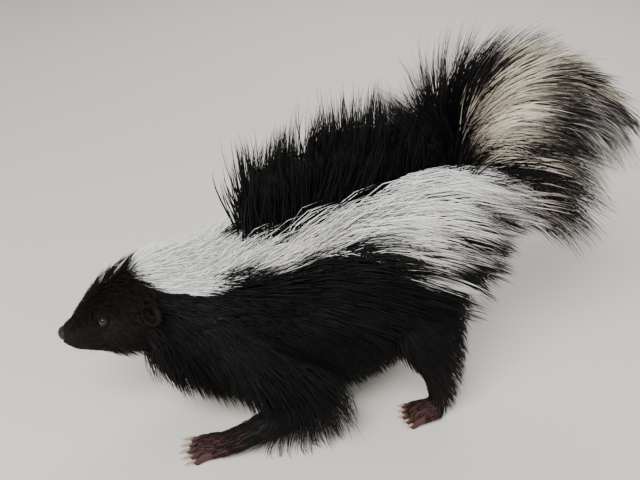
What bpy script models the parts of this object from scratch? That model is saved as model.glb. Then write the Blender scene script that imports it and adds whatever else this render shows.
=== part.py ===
"""Striped skunk, life size, walking with its crest and tail raised.

Metres, +Z up. The skunk faces -X, its left side faces -Y, and its feet stand on z = 0.
Soft masses are lofted and fused into one body, which is parted into nodes by thin cuts.
The head is given eyes, lids, lips, nose and ears, the paws are given toes and claws, and
the long coat grows from dense cores as flat tapered locks.
"""
import math
import random

import bmesh
import bpy
import numpy as np
from mathutils import Matrix, Vector
from mathutils.bvhtree import BVHTree

# How finely the body is made.
GAP = 0.0003               # clearance between neighbouring nodes
BODY_VOXEL = 0.0034        # grid on which the masses of the body are fused
HEAD_VOXEL = 0.0017        # finer grid for the head
BODY_TRIANGLES = 1700
HEAD_TRIANGLES = 1050
BODY_SMOOTHING = 6
HEAD_SMOOTHING = 4
RING_SIDES = 20
SPAN_STEPS = 4             # rings between two stations of a loft
WELD = 0.00001             # corners nearer than this are made one
CUT_REACH = 0.5            # size of a cutting block, well past the body
DOWN = (0, 0, -1)

# Stations of each soft mass: x, y, z of its middle, half width and half height.
TORSO = [
    (-0.122, -0.005, 0.109, 0.036, 0.048),
    (-0.096, -0.003, 0.099, 0.047, 0.060),
    (-0.062, -0.002, 0.092, 0.056, 0.067),
    (-0.015, 0.000, 0.088, 0.060, 0.070),
    (0.030, 0.002, 0.091, 0.062, 0.072),
    (0.070, 0.005, 0.106, 0.059, 0.065),
    (0.104, 0.008, 0.121, 0.048, 0.050),
    (0.130, 0.011, 0.140, 0.028, 0.030),
]
NECK = [
    (-0.150, -0.005, 0.107, 0.029, 0.036),
    (-0.130, -0.005, 0.110, 0.032, 0.043),
    (-0.108, -0.004, 0.105, 0.040, 0.053),
    (-0.085, -0.003, 0.099, 0.048, 0.060),
]
HEAD = [
    (-0.1990, -0.0035, 0.0885, 0.0065, 0.0065),
    (-0.1950, -0.0035, 0.0888, 0.0092, 0.0092),
    (-0.1870, -0.0035, 0.0905, 0.0115, 0.0138),
    (-0.1760, -0.0037, 0.0945, 0.0160, 0.0208),
    (-0.1610, -0.0040, 0.1003, 0.0220, 0.0293),
    (-0.1450, -0.0045, 0.1070, 0.0272, 0.0357),
    (-0.1300, -0.0050, 0.1105, 0.0310, 0.0423),
    (-0.1080, -0.0040, 0.1050, 0.0400, 0.0530),
    (-0.0850, -0.0030, 0.0990, 0.0480, 0.0600),
]
TAIL_BONE = [
    (0.100, 0.008, 0.135, 0.030, 0.028),
    (0.120, 0.010, 0.156, 0.021, 0.020),
    (0.125, 0.012, 0.182, 0.016, 0.015),
    (0.124, 0.013, 0.214, 0.013, 0.013),
    (0.134, 0.014, 0.243, 0.011, 0.011),
    (0.156, 0.015, 0.261, 0.009, 0.009),
    (0.187, 0.016, 0.265, 0.007, 0.007),
    (0.214, 0.017, 0.256, 0.004, 0.004),
]
LEGS = {
    "foreleg_left": [
        (-0.082, -0.030, 0.104, 0.026, 0.034),
        (-0.050, -0.054, 0.070, 0.022, 0.028),
        (-0.017, -0.062, 0.040, 0.017, 0.023),
        (-0.043, -0.066, 0.024, 0.015, 0.018),
        (-0.070, -0.066, 0.014, 0.013, 0.012),
        (-0.086, -0.064, 0.007, 0.013, 0.009),
        (-0.098, -0.062, 0.005, 0.012, 0.007),
    ],
    "foreleg_right": [
        (-0.080, 0.028, 0.104, 0.026, 0.034),
        (-0.058, 0.050, 0.070, 0.022, 0.027),
        (-0.034, 0.056, 0.042, 0.017, 0.020),
        (-0.044, 0.058, 0.026, 0.013, 0.014),
        (-0.056, 0.058, 0.012, 0.012, 0.010),
        (-0.068, 0.057, 0.007, 0.013, 0.009),
        (-0.080, 0.056, 0.005, 0.012, 0.007),
    ],
    "hindleg_left": [
        (0.084, -0.026, 0.112, 0.032, 0.044),
        (0.084, -0.048, 0.078, 0.027, 0.033),
        (0.092, -0.055, 0.050, 0.018, 0.020),
        (0.096, -0.056, 0.028, 0.013, 0.014),
        (0.095, -0.056, 0.012, 0.012, 0.010),
        (0.088, -0.057, 0.006, 0.013, 0.008),
        (0.078, -0.059, 0.005, 0.014, 0.007),
    ],
    "hindleg_right": [
        (0.086, 0.040, 0.112, 0.032, 0.044),
        (0.076, 0.058, 0.078, 0.027, 0.033),
        (0.086, 0.062, 0.050, 0.018, 0.020),
        (0.094, 0.061, 0.028, 0.013, 0.013),
        (0.084, 0.060, 0.011, 0.012, 0.010),
        (0.068, 0.060, 0.006, 0.013, 0.008),
        (0.052, 0.061, 0.005, 0.014, 0.007),
    ],
}

# Where the body is parted: a point of each plane, and its direction.
HEAD_CUT = ((-0.1190, -0.005, 0.117), (-0.975, 0.0, -0.22))
NECK_CUT = ((-0.0860, -0.003, 0.108), (-1.0, 0.0, 0.10))
# The tail's side of this line, drawn in x and z, holds the tail and all its hair.
TAIL_LINE = [
    (-0.020, 0.3712),
    (0.098, 0.1729),
    (0.146, 0.1543),
    (0.300, 0.0840),
    (0.420, 0.0840),
    (0.420, 0.4200),
    (-0.020, 0.4200),
]
TAIL_LIFT = 0.0004         # how far the line is moved up for the tail, and down for the torso
HAIR_SHARE = 0.86          # share of the triangles kept where locks were joined on
HAIR_SET_BACK = 0.0002     # hair is clipped that much further from a parting than flesh
# The wedge of each leg: x range, inner edge, its height there, and rise for each metre out.
LEG_WEDGES = {
    "foreleg_left": (-0.125, 0.014, -0.026, 0.0130, 1.14),
    "foreleg_right": (-0.125, 0.014, 0.026, 0.0130, 1.14),
    "hindleg_left": (0.052, 0.160, -0.026, 0.0260, 1.14),
    "hindleg_right": (0.036, 0.160, 0.030, 0.0220, 1.14),
}
WEDGE_OUT = 0.14
WEDGE_BELOW = -0.03

# The head's features. Its plane of symmetry is at this y.
HEAD_MIDDLE_Y = -0.004
# Soft pads on each side: middle's x, distance out, z, and three radii.
HEAD_PADS = [
    (-0.1890, 0.0052, 0.0868, 0.0085, 0.0062, 0.0056),    # muzzle
    (-0.1490, 0.0190, 0.0965, 0.0180, 0.0095, 0.0140),    # cheek
    (-0.1660, 0.0150, 0.1165, 0.0085, 0.0060, 0.0035),    # brow
    (-0.1780, 0.0050, 0.0810, 0.0150, 0.0070, 0.0050),    # lower jaw
]
EYE_X, EYE_Z = -0.1665, 0.1100
EYE_RADIUS = 0.0037
EYE_BULGE = 0.0014         # how far the eye stands out of the face
LID_RING, LID_TUBE = 0.0043, 0.0014
LID_SHAPE = (1.15, 0.92, 0.95)
NOSE_TIP = Vector((-0.1990, -0.0035, 0.0900))
NOSE_RADII = (0.0050, 0.0058, 0.0046)
NOSTRIL_PLACE = Vector((-0.0040, 0.0027, -0.0002))
NOSTRIL_RADII = (0.0024, 0.0012, 0.0011)
NOSTRIL_TURN = 0.5         # angle by which each nostril turns outward
# The line of the mouth on one side, in x and z, with the groove's and the lips' radii.
MOUTH_LINE = [
    (-0.1950, 0.0836, 0.0011, 0.0011),
    (-0.1900, 0.0826, 0.0013, 0.0014),
    (-0.1840, 0.0828, 0.0013, 0.0015),
    (-0.1780, 0.0836, 0.0012, 0.0014),
    (-0.1720, 0.0848, 0.0010, 0.0012),
    (-0.1665, 0.0868, 0.0006, 0.0008),
]
LIP_OFFSET = 0.0016        # from the line of the mouth up or down to each lip
LIP_SIDES = 6
EAR_X, EAR_Z = -0.1290, 0.1170
EAR_RADII = (0.0090, 0.0085, 0.0052)
EAR_WALL = 0.0020
EAR_FACING = Vector((-0.35, 0.80, 0.50))
EAR_OFFSET = Vector((0.0006, 0.0010, 0.0040))     # from its root on the head to its middle

# Each paw: its leg, its cut's point and direction, length of toes, and of claws.
PAWS = {
    "forepaw_left": ("foreleg_left", (-0.0700, -0.066, 0.014), (-0.90, 0.0, -0.44), 0.011, 0.0125),
    "forepaw_right": ("foreleg_right", (-0.0560, 0.058, 0.014), (-0.80, 0.0, -0.60), 0.011, 0.0125),
    "hindpaw_left": ("hindleg_left", (0.0965, -0.056, 0.019), (-0.40, 0.0, -0.92), 0.009, 0.0070),
    "hindpaw_right": ("hindleg_right", (0.0920, 0.061, 0.019), (-0.40, 0.0, -0.92), 0.009, 0.0070),
}
PALM_RADII = (0.0150, 0.0128, 0.0072)
PALM_BACK = 0.006          # from the front of the leg's last ring back to the palm's middle
PALM_SUNK = 0.0010         # how much of the palm the floor cuts off
TOE_COUNT = 5
TOE_SPREAD = 0.0042        # from one toe's root to the next
TOE_FAN = 0.10             # angle between neighbouring toes
TOE_ROOT = Vector((0.004, 0, 0.0050))     # a toe's root, from the front of the leg
TOE_SUNK = 0.006           # length of a toe that lies in the palm
TOE_SHORTER = 0.16         # share by which each toe is shorter than its inner neighbour
TOE_ROOT_RADIUS = 0.0042
TOE_RADIUS = 0.0035
TOE_END = 0.0022           # from a toe's last full ring to its blunt end
TOE_END_SHARE = 0.45
TOE_SIDES = 5
CLAW_RADIUS = 0.0014
CLAW_STEPS = (0.0, 0.5, 1.0)
CLAW_ARCH = (0.28, 0.36)   # how steeply a claw leaves the toe, and how fast it comes down
CLAW_TAPER = 1.15          # its girth at the root, less one at the tip
CLAW_RAISED = Vector((0, 0, 0.0014))
CLAW_SIDES = 4

# Dense cores of the long coat. The crest: x, y, foot, half width and height of its core.
CREST = [
    (-0.062, -0.001, 0.128, 0.012, 0.048),
    (-0.050, 0.002, 0.130, 0.014, 0.062),
    (-0.032, 0.004, 0.130, 0.015, 0.066),
    (0.000, 0.006, 0.130, 0.015, 0.066),
    (0.040, 0.009, 0.134, 0.015, 0.066),
    (0.074, 0.011, 0.140, 0.015, 0.060),
    (0.094, 0.012, 0.142, 0.013, 0.050),
]
# Its rows of locks: distance out and height of the root, and length, in core sizes.
CREST_ROWS = ((-1.0, 0.50, 1.00), (-0.35, 0.80, 1.00), (0.35, 0.72, 1.05), (1.0, 0.50, 1.00))
CREST_PLACES = 8
CREST_LEAN = (-0.05, 0.12)     # how far its hair leans towards +X, at the nape and the rump
CREST_ROOT_OUT = 0.8           # how far out on the core the roots are, as a share of its width
CREST_FAN = 0.16               # how far the outer rows lean outward
CREST_SHIFT = 0.002            # chance shift of a root
CREST_SWAY = 0.10              # chance part of the lean
CREST_LENGTHS = (0.86, 1.14)
CREST_BENDS = (-0.10, 0.34)
CREST_WIDTH = 0.030
CREST_THICKNESS = 0.007
CREST_SIDES = 10
# The tail's core: x, y, z of its middle, half width and half height.
PLUME = [
    (0.118, 0.010, 0.150, 0.020, 0.020),
    (0.123, 0.012, 0.180, 0.021, 0.024),
    (0.127, 0.013, 0.212, 0.022, 0.026),
    (0.142, 0.014, 0.239, 0.022, 0.026),
    (0.171, 0.015, 0.254, 0.021, 0.023),
    (0.204, 0.016, 0.253, 0.017, 0.018),
    (0.229, 0.017, 0.243, 0.008, 0.009),
]
PLUME_RINGS = 10           # rings of locks along the bone
PLUME_ROUND = 6            # locks in each ring
# Length of the hair on the bone's front and back, at the root, the middle and the tip.
PLUME_FRONT = (0.116, 0.064, 0.042)
PLUME_BACK = (0.090, 0.136, 0.120)
PLUME_OUT = (1.15, 0.50, 0.22)     # how far the hair on the front stands off, likewise
PLUME_BACK_OUT = 0.60
PLUME_ALONG = (0.85, 0.40)         # how far it follows the bone, on the front and the back
PLUME_BACKWARD = 0.95              # how far the hair on the back streams towards +X
PLUME_BEND = 0.25                  # how much further it turns there
PLUME_DROOP = (0.10, 1.15, 0.35)   # how it bends down: everywhere, on the back, at the tip
PLUME_LENGTHS = (0.90, 1.10)
PLUME_ROOT = 0.012                 # from the bone's middle out to the roots
PLUME_WIDTH = 0.029
PLUME_THICKNESS = 0.0064
PLUME_SIDES = 12
# The locks at the tip of the bone: their number, spread, droop, root and lengths.
BRUSH_COUNT = 5
BRUSH_SPREAD = 0.35
BRUSH_START = Vector((1, 0, -0.15))
BRUSH_BEND = Vector((0, 0, -0.8))
BRUSH_BACK = Vector((0.006, 0, 0))
BRUSH_LENGTHS = (0.050, 0.062)
# Locks of one side: first x and step, first angle from the top and step, first length and
# step, first fall and step, width, and their number.
FLANK_ROWS = [
    ((-0.052, 0.030), (0.60, 0.00), (0.042, 0.005), (0.10, 0.00), 0.023, 4),     # stripe
    ((0.079, 0.000), (0.25, 0.30), (0.090, -0.006), (0.15, 0.10), 0.022, 6),     # rump
    ((0.104, 0.000), (0.35, 0.32), (0.076, -0.006), (0.25, 0.13), 0.021, 5),     # behind it
    ((0.010, 0.013), (2.20, 0.00), (0.024, 0.000), (0.90, 0.00), 0.018, 4),      # belly
]
FLANK_MIDDLE = (0.004, 0.105)      # y and z from which the angles are measured
FLANK_RAY = 0.2
FLANK_SHIFT = 0.004                # chance shift of a root, and of its angle
FLANK_TURN = 0.07
FLANK_LENGTHS = (0.85, 1.12)
FLANK_OUT = 0.10                   # how far its hair spreads sideways
FLANK_LIFT = 0.30                  # how far it stands off at the root
FLANK_CLEAR = 0.0036               # how far each further ring stands off the surface
FLANK_THICKNESS = 0.0050
# Rows of the nape: x, and the angles of the locks from the top.
NAPE_ROWS = ((-0.110, (-0.60, 0.0, 0.60)), (-0.098, (-0.90, -0.32, 0.32, 0.90)))
NAPE_MIDDLE = (-0.004, 0.11)
NAPE_LIFTS = (0.6, 1.0)
NAPE_LENGTHS = (0.019, 0.027)
NAPE_BEND = Vector((0, 0, -0.3))
NAPE_WIDTH, NAPE_THICKNESS = 0.017, 0.0045
# The fringe of a leg: places from the elbow to the shank, direction, bend and lengths.
FRINGE_PLACES = (-0.35, 0.10, 0.55, 1.00, 1.45)
FRINGE_START = Vector((1, 0, -0.8))
FRINGE_SPREAD = 0.25
FRINGE_BEND = Vector((0, 0, -0.8))
FRINGE_FACING = Vector((0.3, 1, 0))
FRINGE_LENGTHS = (0.022, 0.028)
FRINGE_WIDTH, FRINGE_THICKNESS = 0.015, 0.0045
LOCK_SPANS = 3             # from a lock's root to its tip
LOCK_TAPER = (0.70, 0.95, 1.00, 0.64)
ROOT_SUNK = 0.008          # how deep a lock's root lies in what carries it
FLOOR_CLEAR = 0.004        # lowest point of any lock
SEED = 11

COLOURS = {
    "coat_black": ((0.012, 0.011, 0.011, 1), 0.55, 0.0),
    "coat_grizzled": ((0.32, 0.31, 0.29, 1), 0.60, 0.0),
    "bare_skin": ((0.10, 0.05, 0.045, 1), 0.45, 0.0),
    "paw_skin": ((0.22, 0.12, 0.10, 1), 0.50, 0.0),
    "eye_dark": ((0.010, 0.008, 0.007, 1), 0.08, 0.0),
}


def clear_scene():
    for item in list(bpy.data.objects):
        bpy.data.objects.remove(item)


def new_collection(name):
    collection = bpy.data.collections.new(name)
    bpy.context.scene.collection.children.link(collection)
    return collection


def material(name):
    colour, roughness, metallic = COLOURS[name]
    made = bpy.data.materials.new(name)
    made.use_nodes = True
    shader = made.node_tree.nodes["Principled BSDF"]
    shader.inputs["Base Color"].default_value = colour
    shader.inputs["Roughness"].default_value = roughness
    shader.inputs["Metallic"].default_value = metallic
    made.diffuse_color = colour
    return made


def add_object(name, mesh, collection):
    made = bpy.data.objects.new(name, mesh)
    collection.objects.link(made)
    return made


def object_from(name, build, collection):
    """An object whose mesh is what build() leaves in a fresh bmesh."""
    mesh = bpy.data.meshes.new(name)
    shape = bmesh.new()
    build(shape)
    bmesh.ops.recalc_face_normals(shape, faces=shape.faces)
    shape.to_mesh(mesh)
    shape.free()
    return add_object(name, mesh, collection)


def smooth_path(stations, steps=SPAN_STEPS):
    """Stations joined by a Catmull-Rom curve, with steps rows in each span."""
    rows = np.array(stations, float)
    padded = np.vstack([2 * rows[0] - rows[1], rows, 2 * rows[-1] - rows[-2]])
    found = []
    for i in range(1, len(padded) - 2):
        a, b, c, d = padded[i - 1 : i + 3]
        for t in np.arange(steps) / steps:
            bend = (2 * a - 5 * b + 4 * c - d) * t * t + (3 * b - a - 3 * c + d) * t ** 3
            found.append(0.5 * (2 * b + (c - a) * t + bend))
    found.append(rows[-1])
    return np.array(found)


def heading(points, i):
    """The direction in which a row of points runs at point i."""
    before, after = points[max(i - 1, 0)], points[min(i + 1, len(points) - 1)]
    return Vector(after - before).normalized()


def ring_axes(forward):
    """The sideways and upward directions of a section that faces forward."""
    side = Vector((0, 1, 0)) - forward * forward.y
    side.normalize()
    return side, forward.cross(side).normalized()


def bridge(shape, rings):
    """Quads between rings of equal length, and one face over each end."""
    for first, second in zip(rings, rings[1:]):
        count = len(first)
        for i in range(count):
            j = (i + 1) % count
            shape.faces.new((first[i], first[j], second[j], second[i]))
    for end in (rings[0], rings[-1]):
        shape.faces.new(end)


def tube(name, rows, collection, sides):
    """A closed tube through rows of x, y, z, half width and half height."""
    rows = np.array(rows, float)
    points = rows[:, :3]

    def build(shape):
        rings = []
        for i, row in enumerate(rows):
            side, up = ring_axes(heading(points, i))
            ring = []
            for k in range(sides):
                angle = 2 * math.pi * k / sides
                offset = side * (math.cos(angle) * row[3]) + up * (math.sin(angle) * row[4])
                ring.append(shape.verts.new(Vector(points[i]) + offset))
            rings.append(ring)
        bridge(shape, rings)

    return object_from(name, build, collection)


def loft(name, stations, collection, sides=RING_SIDES):
    """A closed soft mass with an elliptic section at each station."""
    return tube(name, smooth_path(stations), collection, sides)


def ball(name, centre, radii, collection, turn=Matrix.Identity(3), segments=16, rings=10):
    """An ellipsoid with those radii, turned by a rotation matrix."""
    place = Matrix.Translation(centre) @ turn.to_4x4() @ Matrix.Diagonal((*radii, 1))

    def build(shape):
        bmesh.ops.create_uvsphere(
            shape, u_segments=segments, v_segments=rings, radius=1, matrix=place
        )

    return object_from(name, build, collection)


def slab_beyond(point, normal, collection, gap=0.0):
    """A block whose near face lies on the plane through point, gap beyond it."""
    normal = Vector(normal).normalized()
    turn = normal.to_track_quat("Z", "Y").to_matrix().to_4x4()
    middle = Vector(point) + normal * (CUT_REACH / 2 + gap)
    place = Matrix.Translation(middle) @ turn

    def build(shape):
        bmesh.ops.create_cube(shape, size=CUT_REACH, matrix=place)

    return object_from("slab", build, collection)


def prism(name, sections, collection):
    """A closed solid between two like outlines, each a list of points."""

    def build(shape):
        bridge(shape, [[shape.verts.new(point) for point in section] for section in sections])

    return object_from(name, build, collection)


def baked(item):
    """Replaces an object's mesh by its evaluated one, and drops its modifiers."""
    graph = bpy.context.evaluated_depsgraph_get()
    mesh = bpy.data.meshes.new_from_object(item.evaluated_get(graph))
    item.modifiers.clear()
    item.data = mesh
    return item


def copy_of(item, name, collection):
    return add_object(name, item.data.copy(), collection)


def fused(name, masses, collection, voxel, triangles, smoothing):
    """Soft masses melted into one skin with about that many triangles."""
    shape = bmesh.new()
    for mass in masses:
        shape.from_mesh(mass.data)
        bpy.data.objects.remove(mass)
    mesh = bpy.data.meshes.new(name)
    shape.to_mesh(mesh)
    shape.free()
    item = add_object(name, mesh, collection)
    remesh = item.modifiers.new("fuse", "REMESH")
    remesh.mode = "VOXEL"
    remesh.voxel_size = voxel
    soften = item.modifiers.new("soften", "SMOOTH")
    soften.iterations = smoothing
    baked(item)
    faces = sum(len(face.vertices) - 2 for face in item.data.polygons)
    thin = item.modifiers.new("thin", "DECIMATE")
    thin.ratio = min(1.0, triangles / faces)
    return baked(item)


def combine(item, other, operation):
    """A Boolean of item with an object, which is removed afterwards."""
    change = item.modifiers.new("change", "BOOLEAN")
    change.operation = operation
    change.object = other
    baked(item)
    bpy.data.objects.remove(other)
    return item


def union_all(item, parts):
    """One union of item with a collection of parts, which are removed afterwards."""
    group = bpy.data.collections.new("parts")
    for part in parts:
        group.objects.link(part)
    change = item.modifiers.new("join", "BOOLEAN")
    change.operation = "UNION"
    change.solver = "MANIFOLD"
    change.operand_type = "COLLECTION"
    change.collection = group
    baked(item)
    for part in parts:
        bpy.data.objects.remove(part)
    bpy.data.collections.remove(group)
    return item


def thinned(item, share):
    """Keeps that share of the triangles, the least needed ones going first."""
    thin = item.modifiers.new("thin", "DECIMATE")
    thin.ratio = share
    return baked(item)


def surfaces(shape):
    """The faces of each surface in a bmesh, as far as they join in pairs at edges."""
    seen = set()
    for start in shape.faces:
        if start in seen:
            continue
        seen.add(start)
        piece = [start]
        for face in piece:
            for edge in face.edges:
                if len(edge.link_faces) != 2:
                    continue
                for other in edge.link_faces:
                    if other not in seen:
                        seen.add(other)
                        piece.append(other)
        yield piece


def keep_largest(item):
    """Keeps only the largest closed surface of the mesh, as sound triangles."""
    shape = bmesh.new()
    shape.from_mesh(item.data)
    bmesh.ops.remove_doubles(shape, verts=shape.verts, dist=WELD)
    bmesh.ops.dissolve_degenerate(shape, edges=shape.edges, dist=WELD)
    bmesh.ops.holes_fill(shape, edges=[edge for edge in shape.edges if edge.is_boundary])
    bmesh.ops.triangulate(shape, faces=shape.faces)
    pieces = sorted(surfaces(shape), key=len)
    for piece in pieces[:-1]:
        bmesh.ops.delete(shape, geom=piece, context="FACES")
    shape.to_mesh(item.data)
    shape.free()
    return item


def grown(item, collection):
    """A copy of item that stands a gap outside it."""
    made = copy_of(item, "grown", collection)
    swell = made.modifiers.new("swell", "DISPLACE")
    swell.strength = GAP
    swell.mid_level = 0
    return baked(made)


def cut(item, point, normal, work, set_back=0.0):
    """Removes what lies beyond the plane, and half a gap short of it."""
    return combine(item, slab_beyond(point, normal, work, -GAP / 2 - set_back), "DIFFERENCE")


def parted(item, point, normal, far_name, skunk, work):
    """Cuts item in two at the plane; the far side becomes a new object."""
    far = copy_of(item, far_name, skunk)
    cut(item, point, normal, work)
    cut(far, point, -Vector(normal), work)
    return keep_largest(item), keep_largest(far)


def leg_wedge(limits, work, gap=0.0):
    """The region outside and below a slanting plane, between two x positions."""
    low, high, inner, height, rise = limits
    sign = math.copysign(1, inner)
    lift = gap * math.hypot(1, rise)
    inside = inner - sign * gap
    outside = sign * WEDGE_OUT
    top = height + lift + rise * (WEDGE_OUT - abs(inner))
    outline = [
        (inside, WEDGE_BELOW), (inside, height + lift), (outside, top), (outside, WEDGE_BELOW)
    ]
    sections = [[(x, y, z) for y, z in outline] for x in (low - gap, high + gap)]
    return prism("wedge", sections, work)


def tail_region(lift, work):
    """The region above the line that parts the tail and its hair from the torso."""
    sections = [
        [(x, y, z + lift) for x, z in TAIL_LINE] for y in (-CUT_REACH / 2, CUT_REACH / 2)
    ]
    return prism("tail_region", sections, work)


def clipped(locks, make_region, operation):
    """Clips each lock with a region, and drops those with nothing left."""
    found = []
    for item in locks:
        combine(item, make_region(), operation)
        if len(item.data.polygons) > 3:
            found.append(keep_largest(item))
        else:
            bpy.data.objects.remove(item)
    return found


def tree_of(item):
    """A search tree over the item's surface."""
    points = [vert.co.copy() for vert in item.data.vertices]
    return BVHTree.FromPolygons(points, [list(face.vertices) for face in item.data.polygons])


def side_point(tree, x, z, side):
    """Where a ray along y from that side meets the surface, and the normal there."""
    return tree.ray_cast(Vector((x, side * CUT_REACH, z)), Vector((0, -side, 0)))[:2]


def lid_ring(centre, turn, work):
    """An almond ring that lies around an eye, facing the way turn points z."""
    place = Matrix.Translation(centre) @ turn.to_4x4() @ Matrix.Diagonal((*LID_SHAPE, 1))
    bpy.ops.mesh.primitive_torus_add(
        major_radius=LID_RING, minor_radius=LID_TUBE, major_segments=14, minor_segments=5
    )
    ring = bpy.context.object
    ring.data.transform(place @ Matrix.Translation((0, 0, LID_TUBE)))
    bpy.context.collection.objects.unlink(ring)
    work.objects.link(ring)
    return ring


def set_eye(head_tree, side, name, skunk, work):
    """An eye in the face; returns its lids, which are joined on, and its socket."""
    hit, normal = side_point(head_tree, EYE_X, EYE_Z, side)
    centre = hit - normal * (EYE_RADIUS - EYE_BULGE)
    turn = normal.to_track_quat("Z", "Y").to_matrix()
    eye = ball(name, centre, (EYE_RADIUS,) * 3, skunk, segments=12, rings=8)
    dress(eye, "eye_dark")
    socket = ball("socket", centre, (EYE_RADIUS + GAP,) * 3, work, segments=12, rings=8)
    return lid_ring(centre, turn, work), socket


def mouth_side(head_tree, side, work):
    """The two lips of one side, and the groove between them."""
    lower, upper, groove = [], [], []
    for x, z, groove_radius, lip_radius in MOUTH_LINE:
        hit, normal = side_point(head_tree, x, z, side)
        sunk = hit - normal * lip_radius / 3
        groove.append((*hit, groove_radius, groove_radius / 2))
        lower.append((sunk.x, sunk.y, sunk.z - LIP_OFFSET, lip_radius, lip_radius))
        upper.append((sunk.x, sunk.y, sunk.z + LIP_OFFSET, lip_radius, lip_radius))
    lips = [tube("lip", rows, work, LIP_SIDES) for rows in (lower, upper)]
    return lips, tube("mouth", groove, work, LIP_SIDES)


def set_nose(skunk, work):
    """The bare nose with its two nostrils; returns the seat to cut in the head."""
    nose = ball("nose", NOSE_TIP, NOSE_RADII, skunk, segments=12, rings=7)
    for side in (-1, 1):
        place = NOSE_TIP + NOSTRIL_PLACE * Vector((1, side, 1))
        turn = Matrix.Rotation(side * NOSTRIL_TURN, 3, "Z")
        combine(nose, ball("nostril", place, NOSTRIL_RADII, work, turn, 8, 6), "DIFFERENCE")
    dress(keep_largest(nose), "bare_skin")
    seat = [radius + GAP for radius in NOSE_RADII]
    return ball("seat", NOSE_TIP, seat, work, segments=12, rings=7)


def set_ear(head, head_tree, side, name, skunk, work):
    """A small round cup on the side of the head, open forward and outward."""
    root = side_point(head_tree, EAR_X, EAR_Z, side)[0]
    mirror = Vector((1, side, 1))
    outward = (EAR_FACING * mirror).normalized()
    across = outward.cross(Vector((1, 0, 0))).normalized()
    turn = Matrix((across.cross(outward), across, outward)).transposed()
    centre = root + EAR_OFFSET * mirror
    ear = ball(name, centre, EAR_RADII, skunk, turn, 16, 8)
    hollow_radii = (EAR_RADII[0] - EAR_WALL, EAR_RADII[1] - EAR_WALL, EAR_RADII[2])
    hollow = ball("hollow", centre + outward * 2 * EAR_WALL, hollow_radii, work, turn, 14, 8)
    combine(ear, hollow, "DIFFERENCE")
    combine(ear, grown(head, work), "DIFFERENCE")
    cut(ear, HEAD_CUT[0], -Vector(HEAD_CUT[1]), work, GAP)
    dress(keep_largest(ear), "bare_skin")


def make_head(skunk, work):
    """The head with its cheeks, lids, lips, eyes, nose and ears."""
    pads = [
        ball("pad", Vector((x, HEAD_MIDDLE_Y + side * out, z)), radii, work)
        for side in (-1, 1)
        for x, out, z, *radii in HEAD_PADS
    ]
    masses = [loft("head", HEAD, work), *pads]
    head = fused("head", masses, skunk, HEAD_VOXEL, HEAD_TRIANGLES, HEAD_SMOOTHING)
    cut(head, HEAD_CUT[0], -Vector(HEAD_CUT[1]), work)
    tree = tree_of(head)
    additions = []
    removals = [set_nose(skunk, work)]
    for side, word in ((-1, "left"), (1, "right")):
        set_ear(head, tree, side, "ear_" + word, skunk, work)
        lids, socket = set_eye(tree, side, "eye_" + word, skunk, work)
        lips, groove = mouth_side(tree, side, work)
        additions += [lids, *lips]
        removals += [socket, groove]
    union_all(head, additions)
    for removal in removals:
        combine(head, removal, "DIFFERENCE")
    return keep_largest(head)


def claw(root, forward, length, work):
    """A curved claw that rises a little and comes down to a blunt point."""
    rows = []
    for t in CLAW_STEPS:
        rise = length * (CLAW_ARCH[0] * t - CLAW_ARCH[1] * t * t)
        radius = CLAW_RADIUS * (CLAW_TAPER - t)
        rows.append((*(root + forward * length * t + Vector((0, 0, rise))), radius, radius))
    return tube("claw", rows, work, CLAW_SIDES)


def paw_pieces(front, toe_length, claw_length, work):
    """A palm, and toes with claws in front of it, that reach towards -X."""
    x, y = front[:2]
    palm_middle = Vector((x + PALM_BACK, y, PALM_RADII[2] - PALM_SUNK))
    found = [ball("palm", palm_middle, PALM_RADII, work, segments=10, rings=6)]
    middle = (TOE_COUNT - 1) / 2
    for i in range(TOE_COUNT):
        across = i - middle
        forward = Vector((-math.cos(across * TOE_FAN), math.sin(across * TOE_FAN), 0))
        length = toe_length * (1 - TOE_SHORTER * abs(across)) + TOE_SUNK
        root = Vector((x, y + across * TOE_SPREAD, 0)) + TOE_ROOT
        tip = root + forward * length
        tip.z = TOE_RADIUS - PALM_SUNK / 2
        end_radius = TOE_RADIUS * TOE_END_SHARE
        rows = [
            (*root, TOE_ROOT_RADIUS, TOE_ROOT_RADIUS),
            (*tip, TOE_RADIUS, TOE_RADIUS),
            (*(tip + forward * TOE_END), end_radius, end_radius),
        ]
        found.append(tube("toe", rows, work, TOE_SIDES))
        found.append(claw(tip + CLAW_RAISED, forward, claw_length, work))
    return found


def lock_path(root, start, length, bend, lift=None):
    """Points of a lock that leaves root along start and turns towards bend as it goes."""
    direction = start.normalized()
    points = [root - direction * ROOT_SUNK, root]
    for _ in range(LOCK_SPANS):
        direction = (direction + bend / LOCK_SPANS).normalized()
        points.append(points[-1] + direction * length / LOCK_SPANS)
    if lift:
        points = points[:2] + [lift(point, i) for i, point in enumerate(points[2:], 1)]
    for point in points:
        point.z = max(point.z, FLOOR_CLEAR)
    return points


def lock(points, outward, width, thickness, work):
    """A flat tapered lock along the points, with its broad side facing outward."""

    def build(shape):
        rings = []
        side = (points[1] - points[0]).cross(outward)
        ridge = math.copysign(1, side.cross(points[1] - points[0]).dot(outward))
        for i, point in enumerate(points[:-1]):
            along = (points[i + 1] - point).normalized()
            side = (side - along * side.dot(along)).normalized()
            up = side.cross(along) * ridge
            half = side * (width / 2 * LOCK_TAPER[i])
            rise = up * (thickness / 2 * LOCK_TAPER[i])
            ring = (point + half, point + rise, point - half)
            rings.append([shape.verts.new(corner) for corner in ring])
        for first, second in zip(rings, rings[1:]):
            for i in range(3):
                j = (i + 1) % 3
                shape.faces.new((first[i], first[j], second[j], second[i]))
        shape.faces.new(rings[0])
        tip = shape.verts.new(points[-1])
        for i in range(3):
            shape.faces.new((rings[-1][i], rings[-1][(i + 1) % 3], tip))

    return object_from("lock", build, work)


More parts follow.
